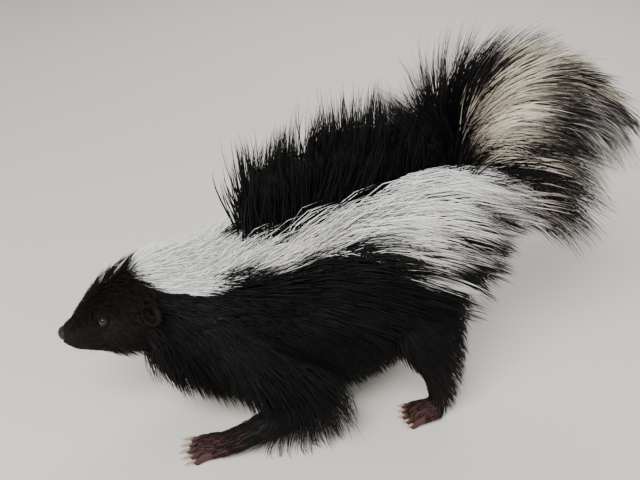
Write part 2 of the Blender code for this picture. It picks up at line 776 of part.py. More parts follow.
def crest_locks(chance, work):
    """The erected hair of the back: overlapping rows of locks that fan out sideways."""
    found = []
    path = smooth_path(CREST, CREST_PLACES)
    places = np.linspace(0, len(path) - 1, CREST_PLACES + 1)[:-1]
    for row, (out, rise, reach) in enumerate(CREST_ROWS):
        for place in places + (row % 2) * places[1] / 2:
            x, y, foot, half_width, height = path[round(place)]
            lean = CREST_LEAN[0] + (CREST_LEAN[1] - CREST_LEAN[0]) * place / (len(path) - 1)
            root = Vector((x, y + out * half_width * CREST_ROOT_OUT, foot + height * rise))
            root.x += chance.uniform(-CREST_SHIFT, CREST_SHIFT)
            lean += chance.uniform(-CREST_SWAY, CREST_SWAY)
            start = Vector((lean, out * CREST_FAN, 1))
            length = height * reach * chance.uniform(*CREST_LENGTHS)
            bend = Vector((chance.uniform(*CREST_BENDS), 0, 0))
            points = lock_path(root, start, length, bend)
            outward = Vector((0, math.copysign(1, out), 0))
            found.append(lock(points, outward, CREST_WIDTH, CREST_THICKNESS, work))
    return found


def over_surface(tree, height):
    """A function that keeps a lock's points that far above the surface, by ring."""

    def lift(point, ring):
        hit, normal, _, distance = tree.find_nearest(point)
        inside = (point - hit).dot(normal) < 0
        wanted = height * ring
        if inside or distance < wanted:
            return hit + normal * wanted
        return point

    return lift


def flank_locks(torso, chance, work):
    """Long hair of the stripe, the rump, the hips and the fringe of the belly."""
    tree = tree_of(torso)
    found = []
    for side in (-1, 1):
        for x, angle, length, fall, width in flank_rows():
            x += chance.uniform(-FLANK_SHIFT, FLANK_SHIFT)
            angle += chance.uniform(-FLANK_TURN, FLANK_TURN)
            spoke = Vector((0, side * math.sin(angle), math.cos(angle)))
            outside = Vector((x, *FLANK_MIDDLE)) + spoke * FLANK_RAY
            root, normal = tree.ray_cast(outside, -spoke)[:2]
            if root is None:
                continue
            start = Vector((1, side * FLANK_OUT, -fall)) + normal * FLANK_LIFT
            length *= chance.uniform(*FLANK_LENGTHS)
            bend = Vector((0, 0, -fall))
            points = lock_path(root, start, length, bend, over_surface(tree, FLANK_CLEAR))
            found.append(lock(points, normal, width, FLANK_THICKNESS, work))
    return found


def flank_rows():
    """Each lock of one side: x, angle from the top, length, fall and width."""
    for *pairs, width, count in FLANK_ROWS:
        for i in range(count):
            x, angle, length, fall = (first + step * i for first, step in pairs)
            yield x, angle, length, fall, width


def nape_locks(neck, chance, work):
    """Short raised hair on the nape."""
    tree = tree_of(neck)
    found = []
    for x, angles in NAPE_ROWS:
        for angle in angles:
            spoke = Vector((0, math.sin(angle), math.cos(angle)))
            outside = Vector((x, *NAPE_MIDDLE)) + spoke * FLANK_RAY
            root, normal = tree.ray_cast(outside, -spoke)[:2]
            start = Vector((1, 0, 0)) + normal * chance.uniform(*NAPE_LIFTS)
            points = lock_path(root, start, chance.uniform(*NAPE_LENGTHS), NAPE_BEND)
            found.append(lock(points, normal, NAPE_WIDTH, NAPE_THICKNESS, work))
    return found


def along_tail(lengths, share):
    """The length at that share of the tail, from those at its root, middle and tip."""
    return float(np.interp(share, (0.0, 0.5, 1.0), lengths))


def plume_lock(root, around, along, back, share, chance):
    """The path of one lock of the plume, which grows a share of the way to its back."""
    length = along_tail(PLUME_FRONT, share) * (1 - back) + along_tail(PLUME_BACK, share) * back
    out = along_tail(PLUME_OUT, share) * (1 - back) + PLUME_BACK_OUT * back
    follow = PLUME_ALONG[0] * (1 - back) + PLUME_ALONG[1] * back
    start = around * out + along * follow + Vector((PLUME_BACKWARD * back, 0, 0))
    droop = PLUME_DROOP[0] + PLUME_DROOP[1] * back + PLUME_DROOP[2] * share
    bend = Vector((PLUME_BEND * back, 0, -droop))
    return lock_path(root, start, length * chance.uniform(*PLUME_LENGTHS), bend)


def tail_locks(chance, work):
    """The plume: locks all around the bone that stream back from it and hang over."""
    bone = smooth_path(TAIL_BONE[1:], PLUME_RINGS)[:, :3]
    found = []
    for ring in range(PLUME_RINGS):
        share = ring / (PLUME_RINGS - 1)
        i = round(share * (len(bone) - 1))
        along = heading(bone, i)
        side, up = ring_axes(along)
        for k in range(PLUME_ROUND):
            angle = 2 * math.pi * (k + 0.5 * (ring % 2)) / PLUME_ROUND
            around = side * math.sin(angle) + up * math.cos(angle)
            back = (1 - math.cos(angle)) / 2
            root = Vector(bone[i]) + around * PLUME_ROOT
            points = plume_lock(root, around, along, back, share, chance)
            facing = around + side * (1 - back) * (1 if k % 3 else -1)
            found.append(lock(points, facing, PLUME_WIDTH, PLUME_THICKNESS, work))
    return found + brush_locks(Vector(bone[-1]) - BRUSH_BACK, chance, work)


def brush_locks(root, chance, work):
    """The locks that carry on past the tip of the bone."""
    found = []
    for k in range(BRUSH_COUNT):
        angle = 2 * math.pi * k / BRUSH_COUNT
        around = Vector((0, math.sin(angle), math.cos(angle)))
        start = BRUSH_START + around * BRUSH_SPREAD
        points = lock_path(root, start, chance.uniform(*BRUSH_LENGTHS), BRUSH_BEND)
        found.append(lock(points, around, PLUME_WIDTH, PLUME_THICKNESS, work))
    return found


def leg_locks(leg_name, chance, work):
    """A fringe of short locks on the back of a leg."""
    stations = LEGS[leg_name]
    elbow = Vector(stations[2][:3])
    shank = Vector(stations[3][:3])
    behind = Vector((stations[2][4] / 2, 0, 0))
    found = []
    for share in FRINGE_PLACES:
        root = elbow.lerp(shank, share) + behind
        spread = Vector((0, chance.uniform(-FRINGE_SPREAD, FRINGE_SPREAD), 0))
        length = chance.uniform(*FRINGE_LENGTHS)
        points = lock_path(root, FRINGE_START + spread, length, FRINGE_BEND)
        found.append(lock(points, FRINGE_FACING, FRINGE_WIDTH, FRINGE_THICKNESS, work))
    return found


def dress(item, slot):
    """Gives a node its material."""
    item.data.materials.clear()
    item.data.materials.append(material(slot))
    return item


def take_legs(torso, skunk, work):
    """Parts the four legs from the torso at their wedges."""
    legs = {name: copy_of(torso, name, skunk) for name in LEG_WEDGES}
    for name, limits in LEG_WEDGES.items():
        combine(legs[name], leg_wedge(limits, work), "INTERSECT")
        combine(torso, leg_wedge(limits, work, GAP), "DIFFERENCE")
        keep_largest(torso)
    return legs


def finish_legs(legs, chance, skunk, work):
    """Parts each paw from its leg and gives it toes and claws, all on the floor."""
    for name, (leg_name, point, normal, toe_length, claw_length) in PAWS.items():
        leg, paw = parted(legs[leg_name], point, normal, name, skunk, work)
        front = LEGS[leg_name][-1]
        union_all(paw, paw_pieces(front, toe_length, claw_length, work))
        limits = LEG_WEDGES[leg_name]
        fringe = clipped(
            leg_locks(leg_name, chance, work),
            lambda: leg_wedge(limits, work, -HAIR_SET_BACK),
            "INTERSECT",
        )
        fringe = clipped(
            fringe, lambda: slab_beyond(point, normal, work, -GAP - HAIR_SET_BACK), "DIFFERENCE"
        )
        above_floor = (0, 0, FLOOR_CLEAR / 2)
        fringe = clipped(fringe, lambda: slab_beyond(above_floor, DOWN, work), "DIFFERENCE")
        union_all(leg, fringe)
        combine(paw, slab_beyond((0, 0, 0), DOWN, work), "DIFFERENCE")
        dress(keep_largest(paw), "paw_skin")
        dress(keep_largest(leg), "coat_black")


def settle(skunk):
    """Moves every node so that the bottom centre of the whole is the origin."""
    corners = np.array([vert.co[:] for item in skunk.objects for vert in item.data.vertices])
    low, high = corners.min(axis=0), corners.max(axis=0)
    shift = Matrix.Translation((-(low[0] + high[0]) / 2, -(low[1] + high[1]) / 2, -low[2]))
    for item in skunk.objects:
        item.data.transform(shift)


def clear_of_legs(locks, work):
    """Clips the locks of the torso where they would reach a leg."""
    for limits in LEG_WEDGES.values():
        locks = clipped(locks, lambda: leg_wedge(limits, work, GAP + HAIR_SET_BACK), "DIFFERENCE")
    return locks


def dress_torso(torso, chance, work):
    """The core and the locks of the crest, and the long hair of the flanks and rump."""
    core = [(x, y, foot + height / 2, half, height / 2) for x, y, foot, half, height in CREST]
    hair = [tube("core", core, work, CREST_SIDES)]
    hair += crest_locks(chance, work)
    hair += clear_of_legs(flank_locks(torso, chance, work), work)
    hair = clipped(hair, lambda: tail_region(-TAIL_LIFT - HAIR_SET_BACK, work), "DIFFERENCE")
    beyond_neck = -GAP / 2 - HAIR_SET_BACK
    hair = clipped(hair, lambda: slab_beyond(*NECK_CUT, work, beyond_neck), "DIFFERENCE")
    union_all(torso, hair)


def dress_tail(tail, chance, work):
    """The core and the locks of the plume."""
    hair = [tube("core", PLUME, work, PLUME_SIDES), *tail_locks(chance, work)]
    hair = clipped(hair, lambda: tail_region(TAIL_LIFT + HAIR_SET_BACK, work), "INTERSECT")
    union_all(tail, hair)


def dress_neck(neck, chance, work):
    """The raised hair of the nape."""
    back = -Vector(NECK_CUT[1])
    beyond = -GAP / 2 - HAIR_SET_BACK
    hair = clipped(
        nape_locks(neck, chance, work),
        lambda: slab_beyond(NECK_CUT[0], back, work, beyond),
        "DIFFERENCE",
    )
    hair = clipped(hair, lambda: slab_beyond(*HEAD_CUT, work, beyond), "DIFFERENCE")
    union_all(neck, hair)


def main():
    clear_scene()
    skunk = new_collection("striped_skunk")
    work = new_collection("cutters")
    chance = random.Random(SEED)
    masses = [loft(name, LEGS[name], work) for name in LEGS]
    masses += [loft("mass", stations, work) for stations in (TORSO, NECK, TAIL_BONE)]
    torso = fused("torso", masses, skunk, BODY_VOXEL, BODY_TRIANGLES, BODY_SMOOTHING)
    legs = take_legs(torso, skunk, work)
    finish_legs(legs, chance, skunk, work)

    cut(torso, *HEAD_CUT, work)
    torso, neck = parted(torso, *NECK_CUT, "neck", skunk, work)
    tail = copy_of(torso, "tail", skunk)
    combine(torso, tail_region(-TAIL_LIFT, work), "DIFFERENCE")
    combine(tail, tail_region(TAIL_LIFT, work), "INTERSECT")
    dress_torso(torso, chance, work)
    dress_tail(tail, chance, work)
    dress_neck(neck, chance, work)
    head = make_head(skunk, work)
    for item in (torso, neck, head):
        dress(keep_largest(item), "coat_black")
    dress(keep_largest(tail), "coat_grizzled")
    for item in (torso, tail):
        keep_largest(thinned(item, HAIR_SHARE))
    settle(skunk)


main()
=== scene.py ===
"""Striped skunk, life size: skin, eyes, nose, ears, claws, coat and a small studio.

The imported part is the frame. One skin takes the place of the nodes of flesh and lies inside
them by the depth of the coat, and the coat is grown on it as joined mesh tufts. Metres, +Z up,
the skunk faces -X and its left side faces -Y. Stations are in the drawing frame of the part,
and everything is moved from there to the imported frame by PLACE.
"""
import math

import bmesh
import bpy
import numpy as np
from bpy.props import FloatProperty, FloatVectorProperty, IntProperty, PointerProperty
from mathutils import Matrix, Vector
from mathutils.kdtree import KDTree


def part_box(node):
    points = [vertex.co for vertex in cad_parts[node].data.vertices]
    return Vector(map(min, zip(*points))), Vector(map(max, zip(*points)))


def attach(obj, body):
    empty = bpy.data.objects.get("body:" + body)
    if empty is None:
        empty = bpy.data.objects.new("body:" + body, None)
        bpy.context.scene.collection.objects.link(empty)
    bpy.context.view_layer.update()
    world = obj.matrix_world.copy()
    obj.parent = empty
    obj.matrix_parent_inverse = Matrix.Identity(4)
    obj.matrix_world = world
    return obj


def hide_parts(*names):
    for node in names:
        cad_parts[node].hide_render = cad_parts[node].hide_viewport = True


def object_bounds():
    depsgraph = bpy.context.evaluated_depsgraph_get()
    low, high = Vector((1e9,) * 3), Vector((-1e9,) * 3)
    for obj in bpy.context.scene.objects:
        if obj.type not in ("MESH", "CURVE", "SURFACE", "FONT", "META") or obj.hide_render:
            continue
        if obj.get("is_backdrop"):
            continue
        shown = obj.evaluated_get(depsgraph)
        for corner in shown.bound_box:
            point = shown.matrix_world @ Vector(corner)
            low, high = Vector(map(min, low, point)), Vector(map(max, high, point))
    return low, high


bl_info = {
    "name": "Striped Skunk",
    "version": (1, 0, 0),
    "blender": (4, 5, 0),
    "location": "View3D > Sidebar > Skunk",
    "description": "Skin, features, coat and studio of a life-size striped skunk",
    "category": "Mesh",
}

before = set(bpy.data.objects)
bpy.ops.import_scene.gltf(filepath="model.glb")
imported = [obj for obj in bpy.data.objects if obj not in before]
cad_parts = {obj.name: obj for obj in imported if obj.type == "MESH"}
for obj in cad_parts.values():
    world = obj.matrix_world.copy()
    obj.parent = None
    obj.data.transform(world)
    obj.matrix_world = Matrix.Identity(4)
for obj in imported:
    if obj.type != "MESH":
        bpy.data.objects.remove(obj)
CAD_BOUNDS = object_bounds()
BODY = "root"

# Stations of each soft mass: x, y, z of its middle, half width and half height.
TORSO = [
    (-0.122, -0.005, 0.109, 0.036, 0.048),
    (-0.096, -0.003, 0.099, 0.047, 0.060),
    (-0.062, -0.002, 0.092, 0.056, 0.067),
    (-0.015, 0.000, 0.088, 0.060, 0.070),
    (0.030, 0.002, 0.091, 0.062, 0.072),
    (0.070, 0.005, 0.106, 0.059, 0.065),
    (0.104, 0.008, 0.121, 0.048, 0.050),
    (0.130, 0.011, 0.140, 0.028, 0.030),
]
HEAD = [
    (-0.1990, -0.0035, 0.0885, 0.0070, 0.0070),
    (-0.1950, -0.0035, 0.0890, 0.0098, 0.0100),
    (-0.1870, -0.0035, 0.0905, 0.0115, 0.0138),
    (-0.1760, -0.0037, 0.0945, 0.0160, 0.0208),
    (-0.1610, -0.0040, 0.1003, 0.0220, 0.0293),
    (-0.1450, -0.0045, 0.1070, 0.0272, 0.0357),
    (-0.1300, -0.0050, 0.1105, 0.0310, 0.0423),
    (-0.1080, -0.0040, 0.1050, 0.0400, 0.0530),
    (-0.0850, -0.0030, 0.0990, 0.0480, 0.0600),
]
TAIL = [
    (0.100, 0.008, 0.135, 0.030, 0.028),
    (0.120, 0.010, 0.156, 0.021, 0.020),
    (0.125, 0.012, 0.182, 0.016, 0.015),
    (0.124, 0.013, 0.214, 0.013, 0.013),
    (0.134, 0.014, 0.243, 0.011, 0.011),
    (0.156, 0.015, 0.261, 0.009, 0.009),
    (0.187, 0.016, 0.265, 0.007, 0.007),
    (0.214, 0.017, 0.256, 0.004, 0.004),
]
LEGS = {
    "foreleg_left": [
        (-0.082, -0.030, 0.104, 0.026, 0.034),
        (-0.050, -0.054, 0.070, 0.022, 0.028),
        (-0.017, -0.062, 0.040, 0.017, 0.023),
        (-0.043, -0.066, 0.024, 0.015, 0.018),
        (-0.070, -0.066, 0.014, 0.013, 0.012),
        (-0.086, -0.064, 0.007, 0.013, 0.009),
        (-0.098, -0.062, 0.005, 0.012, 0.007),
    ],
    "foreleg_right": [
        (-0.080, 0.028, 0.104, 0.026, 0.034),
        (-0.058, 0.050, 0.070, 0.022, 0.027),
        (-0.034, 0.056, 0.042, 0.017, 0.020),
        (-0.044, 0.058, 0.026, 0.013, 0.014),
        (-0.056, 0.058, 0.012, 0.012, 0.010),
        (-0.068, 0.057, 0.007, 0.013, 0.009),
        (-0.080, 0.056, 0.005, 0.012, 0.007),
    ],
    "hindleg_left": [
        (0.084, -0.026, 0.112, 0.032, 0.044),
        (0.084, -0.048, 0.078, 0.027, 0.033),
        (0.092, -0.055, 0.050, 0.018, 0.020),
        (0.096, -0.056, 0.028, 0.013, 0.014),
        (0.095, -0.056, 0.012, 0.012, 0.010),
        (0.088, -0.057, 0.006, 0.013, 0.008),
        (0.078, -0.059, 0.005, 0.014, 0.007),
    ],
    "hindleg_right": [
        (0.086, 0.040, 0.112, 0.032, 0.044),
        (0.076, 0.058, 0.078, 0.027, 0.033),
        (0.086, 0.062, 0.050, 0.018, 0.020),
        (0.094, 0.061, 0.028, 0.013, 0.013),
        (0.084, 0.060, 0.011, 0.012, 0.010),
        (0.068, 0.060, 0.006, 0.013, 0.008),
        (0.052, 0.061, 0.005, 0.014, 0.007),
    ],
}
# Depth of the coat over the skin, at the first and the last station of each mass.
COAT_DEPTH = {
    "torso": (0.008, 0.009),
    "tail": (0.008, 0.001),
    "foreleg_left": (0.008, 0.0004),
    "foreleg_right": (0.008, 0.0004),
    "hindleg_left": (0.009, 0.0004),
    "hindleg_right": (0.009, 0.0004),
}
HEAD_DEPTH_X = (-0.199, -0.176, -0.155, -0.135, -0.108, -0.085)
HEAD_DEPTH = (0.0005, 0.0010, 0.0022, 0.0045, 0.0080, 0.0090)
FLESH_NODES = [
    "head", "neck", "torso", "tail", "foreleg_left", "foreleg_right", "hindleg_left",
    "hindleg_right", "forepaw_left", "forepaw_right", "hindpaw_left", "hindpaw_right",
]

# Pads of the face: middle's x, distance out, z, and three radii.
HEAD_PADS = [
    (-0.1890, 0.0050, 0.0868, 0.0080, 0.0056, 0.0050),
    (-0.1490, 0.0175, 0.0965, 0.0175, 0.0085, 0.0130),
    (-0.1660, 0.0138, 0.1160, 0.0085, 0.0052, 0.0032),
    (-0.1780, 0.0046, 0.0812, 0.0150, 0.0062, 0.0044),
]
HEAD_MIDDLE_Y = -0.0040
EYE_LEFT = Vector((-0.16543, -0.02174, 0.10968))
EYE_RADIUS = 0.0037
NOSE_TIP = Vector((-0.1974, -0.0035, 0.0905))
NOSE_RADII = Vector((0.0058, 0.0068, 0.0054))
NOSTRIL = Vector((-0.0043, 0.0030, -0.0004))
MOUTH_LINE = [
    (-0.1975, 0.0846), (-0.1930, 0.0830), (-0.1880, 0.0826), (-0.1820, 0.0830),
    (-0.1760, 0.0840), (-0.1700, 0.0855), (-0.1665, 0.0870),
]
# Toes and claws of each paw: length of the toes and of the claws.
PAWS = {
    "foreleg_left": (0.011, 0.0110),
    "foreleg_right": (0.011, 0.0110),
    "hindleg_left": (0.009, 0.0070),
    "hindleg_right": (0.009, 0.0070),
}
PALM_RADII = (0.0148, 0.0124, 0.0070)
PALM_BACK = 0.006
PALM_SUNK = 0.0010
TOE_COUNT = 5
TOE_SPREAD = 0.0047
TOE_FAN = 0.10
TOE_RADIUS = 0.0034
TOE_SHORTER = 0.16         # share by which each toe is shorter than the next one inward
TOE_SUNK = 0.006           # length of a toe that lies in the palm
TOE_ROOT = (0.004, 0.0052)
# Stations of a toe from root to tip: share of the way, rise, half width and half height.
TOE_STATIONS = [
    (0.00, 0.0, 0.0026, 0.0036),
    (0.50, 0.0011, 0.0024, 0.0036),
    (0.78, 0.0003, 0.0021, 0.0030),
    (1.00, 0.0, 0.0023, TOE_RADIUS),
]
# The rounded end of a toe: distance past its tip, half width and half height.
TOE_END = [(0.0020, 0.0017, 0.0022), (0.0029, 0.0006, 0.0008)]
TOE_THINNEST = 0.0003
TOE_CORE = 0.84            # girth of the cores of the toes in the skin
PAW_CUTS = {
    "foreleg_left": ((-0.0700, -0.066, 0.014), (-0.90, 0.0, -0.44)),
    "foreleg_right": ((-0.0560, 0.058, 0.014), (-0.80, 0.0, -0.60)),
    "hindleg_left": ((0.0965, -0.056, 0.019), (-0.40, 0.0, -0.92)),
    "hindleg_right": ((0.0920, 0.061, 0.019), (-0.40, 0.0, -0.92)),
}

# The camera, as the photo was taken.
VIEW_FROM = Vector((-0.10803, -0.53826, 0.46500))
VIEW_TO = Vector((0.0, -0.030, 0.165))
LENS = 45
SENSOR = 36


def box_middle(node):
    low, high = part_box(node)
    return (low + high) / 2


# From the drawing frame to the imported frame. Heights are the same in both.
PLACE = box_middle("eye_left") - EYE_LEFT
PLACE.z = 0


SHORTEST = 1e-12           # length below which a vector isn't scaled


def unit(vectors):
    """Rows scaled to length one."""
    return vectors / np.maximum(np.linalg.norm(vectors, axis=-1, keepdims=True), SHORTEST)


def smoothstep(low, high, values):
    share = np.clip((np.asarray(values, float) - low) / (high - low), 0, 1)
    return share * share * (3 - 2 * share)


def mix(first, second, share):
    """Rows of first turned into rows of second by a share for each row."""
    share = np.asarray(share)[..., None]
    return np.asarray(first) * (1 - share) + np.asarray(second) * share


def smooth_path(stations, steps=4):
    """Stations joined by a smooth curve, with steps rows in each span."""
    rows = np.array(stations, float)
    padded = np.vstack([2 * rows[0] - rows[1], rows, 2 * rows[-1] - rows[-2]])
    found = []
    for i in range(1, len(padded) - 2):
        a, b, c, d = padded[i - 1 : i + 3]
        for t in np.arange(steps) / steps:
            bend = (2 * a - 5 * b + 4 * c - d) * t * t + (3 * b - a - 3 * c + d) * t ** 3
            found.append(0.5 * (2 * b + (c - a) * t + bend))
    found.append(rows[-1])
    return np.array(found)


def headings(points):
    """The direction in which a row of points runs, at each point."""
    ahead = np.vstack([points[1:], points[-1:]])
    behind = np.vstack([points[:1], points[:-1]])
    return unit(ahead - behind)


def section_axes(forward):
    """Sideways and upward directions of sections that face forward, as rows."""
    side = np.array([0.0, 1.0, 0.0]) - forward * forward[:, 1:2]
    side = unit(side)
    return side, unit(np.cross(forward, side))


THICKEST_COAT = 0.4        # the most of a half width that the coat takes


class Mass:
    """One soft mass of the body: its smooth rows, less the coat, and their axes."""

    def __init__(self, name, stations):
        self.name = name
        rows = smooth_path(stations)
        if name == "head":
            depth = np.interp(rows[:, 0], HEAD_DEPTH_X, HEAD_DEPTH)
        else:
            depth = np.linspace(*COAT_DEPTH[name], len(rows))
        rows[:, 3:] -= np.minimum(depth[:, None], THICKEST_COAT * rows[:, 3:])
        self.rows = rows
        self.points = rows[:, :3]
        self.forward = headings(self.points)
        self.side, self.up = section_axes(self.forward)
        self.radius = rows[:, 3:].mean(axis=1)

    def near(self, places):
        """For each place: how far outside the mass it is, and its nearest row."""
        gaps = np.linalg.norm(places[:, None] - self.points[None], axis=2) - self.radius
        row = gaps.argmin(axis=1)
        return gaps[np.arange(len(places)), row], row


MASSES = [Mass("torso", TORSO), Mass("head", HEAD), Mass("tail", TAIL)]
MASSES += [Mass(name, stations) for name, stations in LEGS.items()]
MASS_NAMES = [mass.name for mass in MASSES]


class Spots:
    """Places on the skin with what is known there: mass, share along it, angle around it."""

    def __init__(self, places, normals):
        self.places = places
        self.normals = normals
        gaps, rows = zip(*(mass.near(places) for mass in MASSES))
        self.mass = np.array(gaps).argmin(axis=0)
        every = np.arange(len(places))
        row = np.array(rows)[self.mass, every]
        self.share = np.zeros(len(places))
        self.angle = np.zeros(len(places))
        self.forward = np.zeros((len(places), 3))
        for i, mass in enumerate(MASSES):
            mine = self.mass == i
            at = row[mine]
            away = places[mine] - mass.points[at]
            along = np.einsum("ij,ij->i", away, mass.forward[at])
            step = np.linalg.norm(np.diff(mass.points, axis=0), axis=1).mean()
            self.share[mine] = np.clip((at + along / step) / (len(mass.points) - 1), 0, 1)
            across = np.einsum("ij,ij->i", away, mass.side[at])
            rise = np.einsum("ij,ij->i", away, mass.up[at])
            self.angle[mine] = np.arctan2(across, rise)
            self.forward[mine] = mass.forward[at]
        self.x, self.y, self.z = places.T

    def of(self, *names):
        """Which places belong to masses with those names."""
        wanted = [i for i, name in enumerate(MASS_NAMES) if name in names]
        return np.isin(self.mass, wanted)

    def on_leg(self):
        return self.of(*LEGS)

    def pick(self, chosen):
        """The same facts for some of the places."""
        made = Spots.__new__(Spots)
        for key, values in self.__dict__.items():
            setattr(made, key, values[chosen])
        return made


# Markings. The white patch starts on the nape, and goes on as a stripe on each side.
NAPE_X = (-0.145, -0.139, -0.130, -0.120, -0.100, -0.086, -0.070)
NAPE_ANGLE = (0.00, 0.34, 0.60, 0.75, 0.70, 0.59, 0.55)
STRIPE_X = (-0.070, -0.045, -0.020, 0.000, 0.020, 0.040, 0.055, 0.072, 0.090, 0.112, 0.130)
STRIPE_LOW = (0.57, 0.62, 0.58, 0.57, 0.67, 0.86, 1.05, 1.17, 1.08, 0.88, 0.60)
STRIPE_TOP_X = (-0.082, -0.074, -0.060, 0.000, 0.050, 0.100)
STRIPE_TOP = (0.00, 0.12, 0.20, 0.20, 0.16, 0.12)
BLAZE_X = (-0.172, -0.166, -0.156, -0.150)
BLAZE_HALF = (0.0, 0.0011, 0.0013, 0.0)
BLAZE_LOW_Z = 0.10
BLAZE_WHITE = 0.35
WHITE_BLUR = 0.05
FADE_X = (-0.02, 0.03, 0.06, 0.12)     # the white fades towards the rump
FADE = (1.0, 0.84, 0.78, 0.72)
LOWER_ANGLE = (0.44, 0.70)             # more in its lower part, from these places on
LOWER_X = (0.020, 0.045)
LOWER_LESS = 0.45
NEARLY_NOUGHT = 1e-9
PAW_BLUR = (-0.010, 0.012)


def whiteness(spots):
    """How white the coat is that grows from each spot, from 0 to 1."""
    turned = np.abs(spots.angle)
    low = np.where(
        spots.x < STRIPE_X[0],
        np.interp(spots.x, NAPE_X, NAPE_ANGLE, left=-1),
        np.interp(spots.x, STRIPE_X, STRIPE_LOW),
    )
    top = np.interp(spots.x, STRIPE_TOP_X, STRIPE_TOP)
    above_low = smoothstep(-WHITE_BLUR, WHITE_BLUR, low - turned)
    below_top = smoothstep(-WHITE_BLUR, WHITE_BLUR, turned - top + NEARLY_NOUGHT)
    white = np.where(spots.x < STRIPE_TOP_X[0], above_low, above_low * below_top)
    lower = smoothstep(*LOWER_ANGLE, turned) * smoothstep(*LOWER_X, spots.x)
    white *= np.interp(spots.x, FADE_X, FADE) * (1 - LOWER_LESS * lower)
    half = np.interp(spots.x, BLAZE_X, BLAZE_HALF, left=0, right=0)
    blaze = (np.abs(spots.y - HEAD_MIDDLE_Y) < half) & (spots.z > BLAZE_LOW_Z)
    return np.where(spots.of("torso", "head"), np.maximum(white, BLAZE_WHITE * blaze), 0.0)


def paw_share(spots):
    """How far each spot lies on the bare part of a paw, from 0 to 1."""
    share = np.zeros(len(spots.x))
    for name, (point, normal) in PAW_CUTS.items():
        normal = unit(np.array(normal))
        past = (spots.places - np.array(point)) @ normal
        share = np.where(spots.of(name), smoothstep(*PAW_BLUR, past), share)
    return share


class SkunkColours(bpy.types.PropertyGroup):
    """Colours of the skunk, as linear red, green and blue."""

    black: FloatVectorProperty(
        name="Black hair", description="Colour of the black coat", subtype="COLOR",
        default=(0.0048, 0.0043, 0.0043), min=0, max=1,
    )
    face: FloatVectorProperty(
        name="Face hair", description="Colour of the short hair of the face", subtype="COLOR",
        default=(0.0085, 0.0058, 0.0050), min=0, max=1,
    )
    white: FloatVectorProperty(
        name="White hair", description="Colour of the nape and the stripes", subtype="COLOR",
        default=(0.93, 0.915, 0.88), min=0, max=1,
    )
    cream: FloatVectorProperty(
        name="Cream hair", description="Colour of the tail's hair near its root",
        subtype="COLOR", default=(0.82, 0.74, 0.60), min=0, max=1,
    )
    grizzled: FloatVectorProperty(
        name="Tips of the tail", description="Colour of the tail's hair at its tips",
        subtype="COLOR", default=(0.70, 0.66, 0.61), min=0, max=1,
    )
    band: FloatVectorProperty(
        name="Band of the tail", description="Colour of the dark band in the tail's hair",
        subtype="COLOR", default=(0.014, 0.011, 0.010), min=0, max=1,
    )
    skin: FloatVectorProperty(
        name="Skin under black hair", description="Colour of the skin", subtype="COLOR",
        default=(0.006, 0.005, 0.0048), min=0, max=1,
    )
    paw: FloatVectorProperty(
        name="Skin of the paws", description="Colour of the bare skin of the paws",
        subtype="COLOR", default=(0.060, 0.028, 0.024), min=0, max=1,
    )
    ear: FloatVectorProperty(
        name="Skin of the ears", description="Colour inside the ears", subtype="COLOR",
        default=(0.032, 0.019, 0.013), min=0, max=1,
    )
    nose: FloatVectorProperty(
        name="Nose", description="Colour of the bare nose", subtype="COLOR",
        default=(0.012, 0.0085, 0.0080), min=0, max=1,
    )
    claw: FloatVectorProperty(
        name="Claws", description="Colour of the claws at their tips", subtype="COLOR",
        default=(0.34, 0.24, 0.165), min=0, max=1,
    )
    eye: FloatVectorProperty(
        name="Eyes", description="Colour of the iris", subtype="COLOR",
        default=(0.020, 0.009, 0.005), min=0, max=1,
    )


class SkunkSizes(bpy.types.PropertyGroup):
    """Sizes that shape the skin and the coat."""

    voxel: FloatProperty(
        name="Skin grid", description="Grid on which the masses of the skin are fused",
        default=0.0016, min=0.001, max=0.004, unit="LENGTH",
    )
    smoothing: IntProperty(
        name="Smoothing", description="Smoothing passes over the skin", default=9, min=0, max=40
    )
    density: FloatProperty(
        name="Coat density", description="Share of the full number of tufts",
        default=1.0, min=0.05, max=1.5, subtype="FACTOR",
    )
    hair_width: FloatProperty(
        name="Tuft width", description="Width of a tuft of the body's coat",
        default=0.00085, min=0.0003, max=0.003, unit="LENGTH",
    )
    eye_radius: FloatProperty(
        name="Eye radius", description="Radius of each eye", default=EYE_RADIUS,
        min=0.002, max=0.006, unit="LENGTH",
    )
    claw_radius: FloatProperty(
        name="Claw radius", description="Radius of a claw at its root", default=0.0016,
        min=0.0008, max=0.003, unit="LENGTH",
    )
    seed: IntProperty(name="Seed", description="Start of every random draw", default=7, min=0)


class SkunkStudio(bpy.types.PropertyGroup):
    """The floor and the lights."""

    floor: FloatVectorProperty(
        name="Floor", description="Colour of the floor", subtype="COLOR",
        default=(0.68, 0.64, 0.58), min=0, max=1,
    )
    key: FloatProperty(
        name="Key light", description="Power of the key light", default=62.0, min=0, unit="POWER"
    )
    fill: FloatProperty(
        name="Fill light", description="Power of the fill light", default=9.0, min=0,
        unit="POWER",
    )
    rim: FloatProperty(
        name="Rim light", description="Power of the light behind", default=16.0, min=0,
        unit="POWER",
    )
    sky: FloatProperty(
        name="Sky", description="Strength of the light from all around", default=0.36, min=0
    )


class SkunkSettings(bpy.types.PropertyGroup):
    """Everything that the panel offers."""

    colours: PointerProperty(type=SkunkColours, name="Colours", description="Colours")
    sizes: PointerProperty(type=SkunkSizes, name="Sizes", description="Sizes")
    studio: PointerProperty(type=SkunkStudio, name="Studio", description="Floor and lights")


def settings():
    return bpy.context.scene.striped_skunk


def colour_of(name):
    return np.array(getattr(settings().colours, name))


SEED_STEP = 100


def dice(number):
    """A seeded source of random draws, one for each piece."""
    return np.random.default_rng(settings().sizes.seed * SEED_STEP + number)


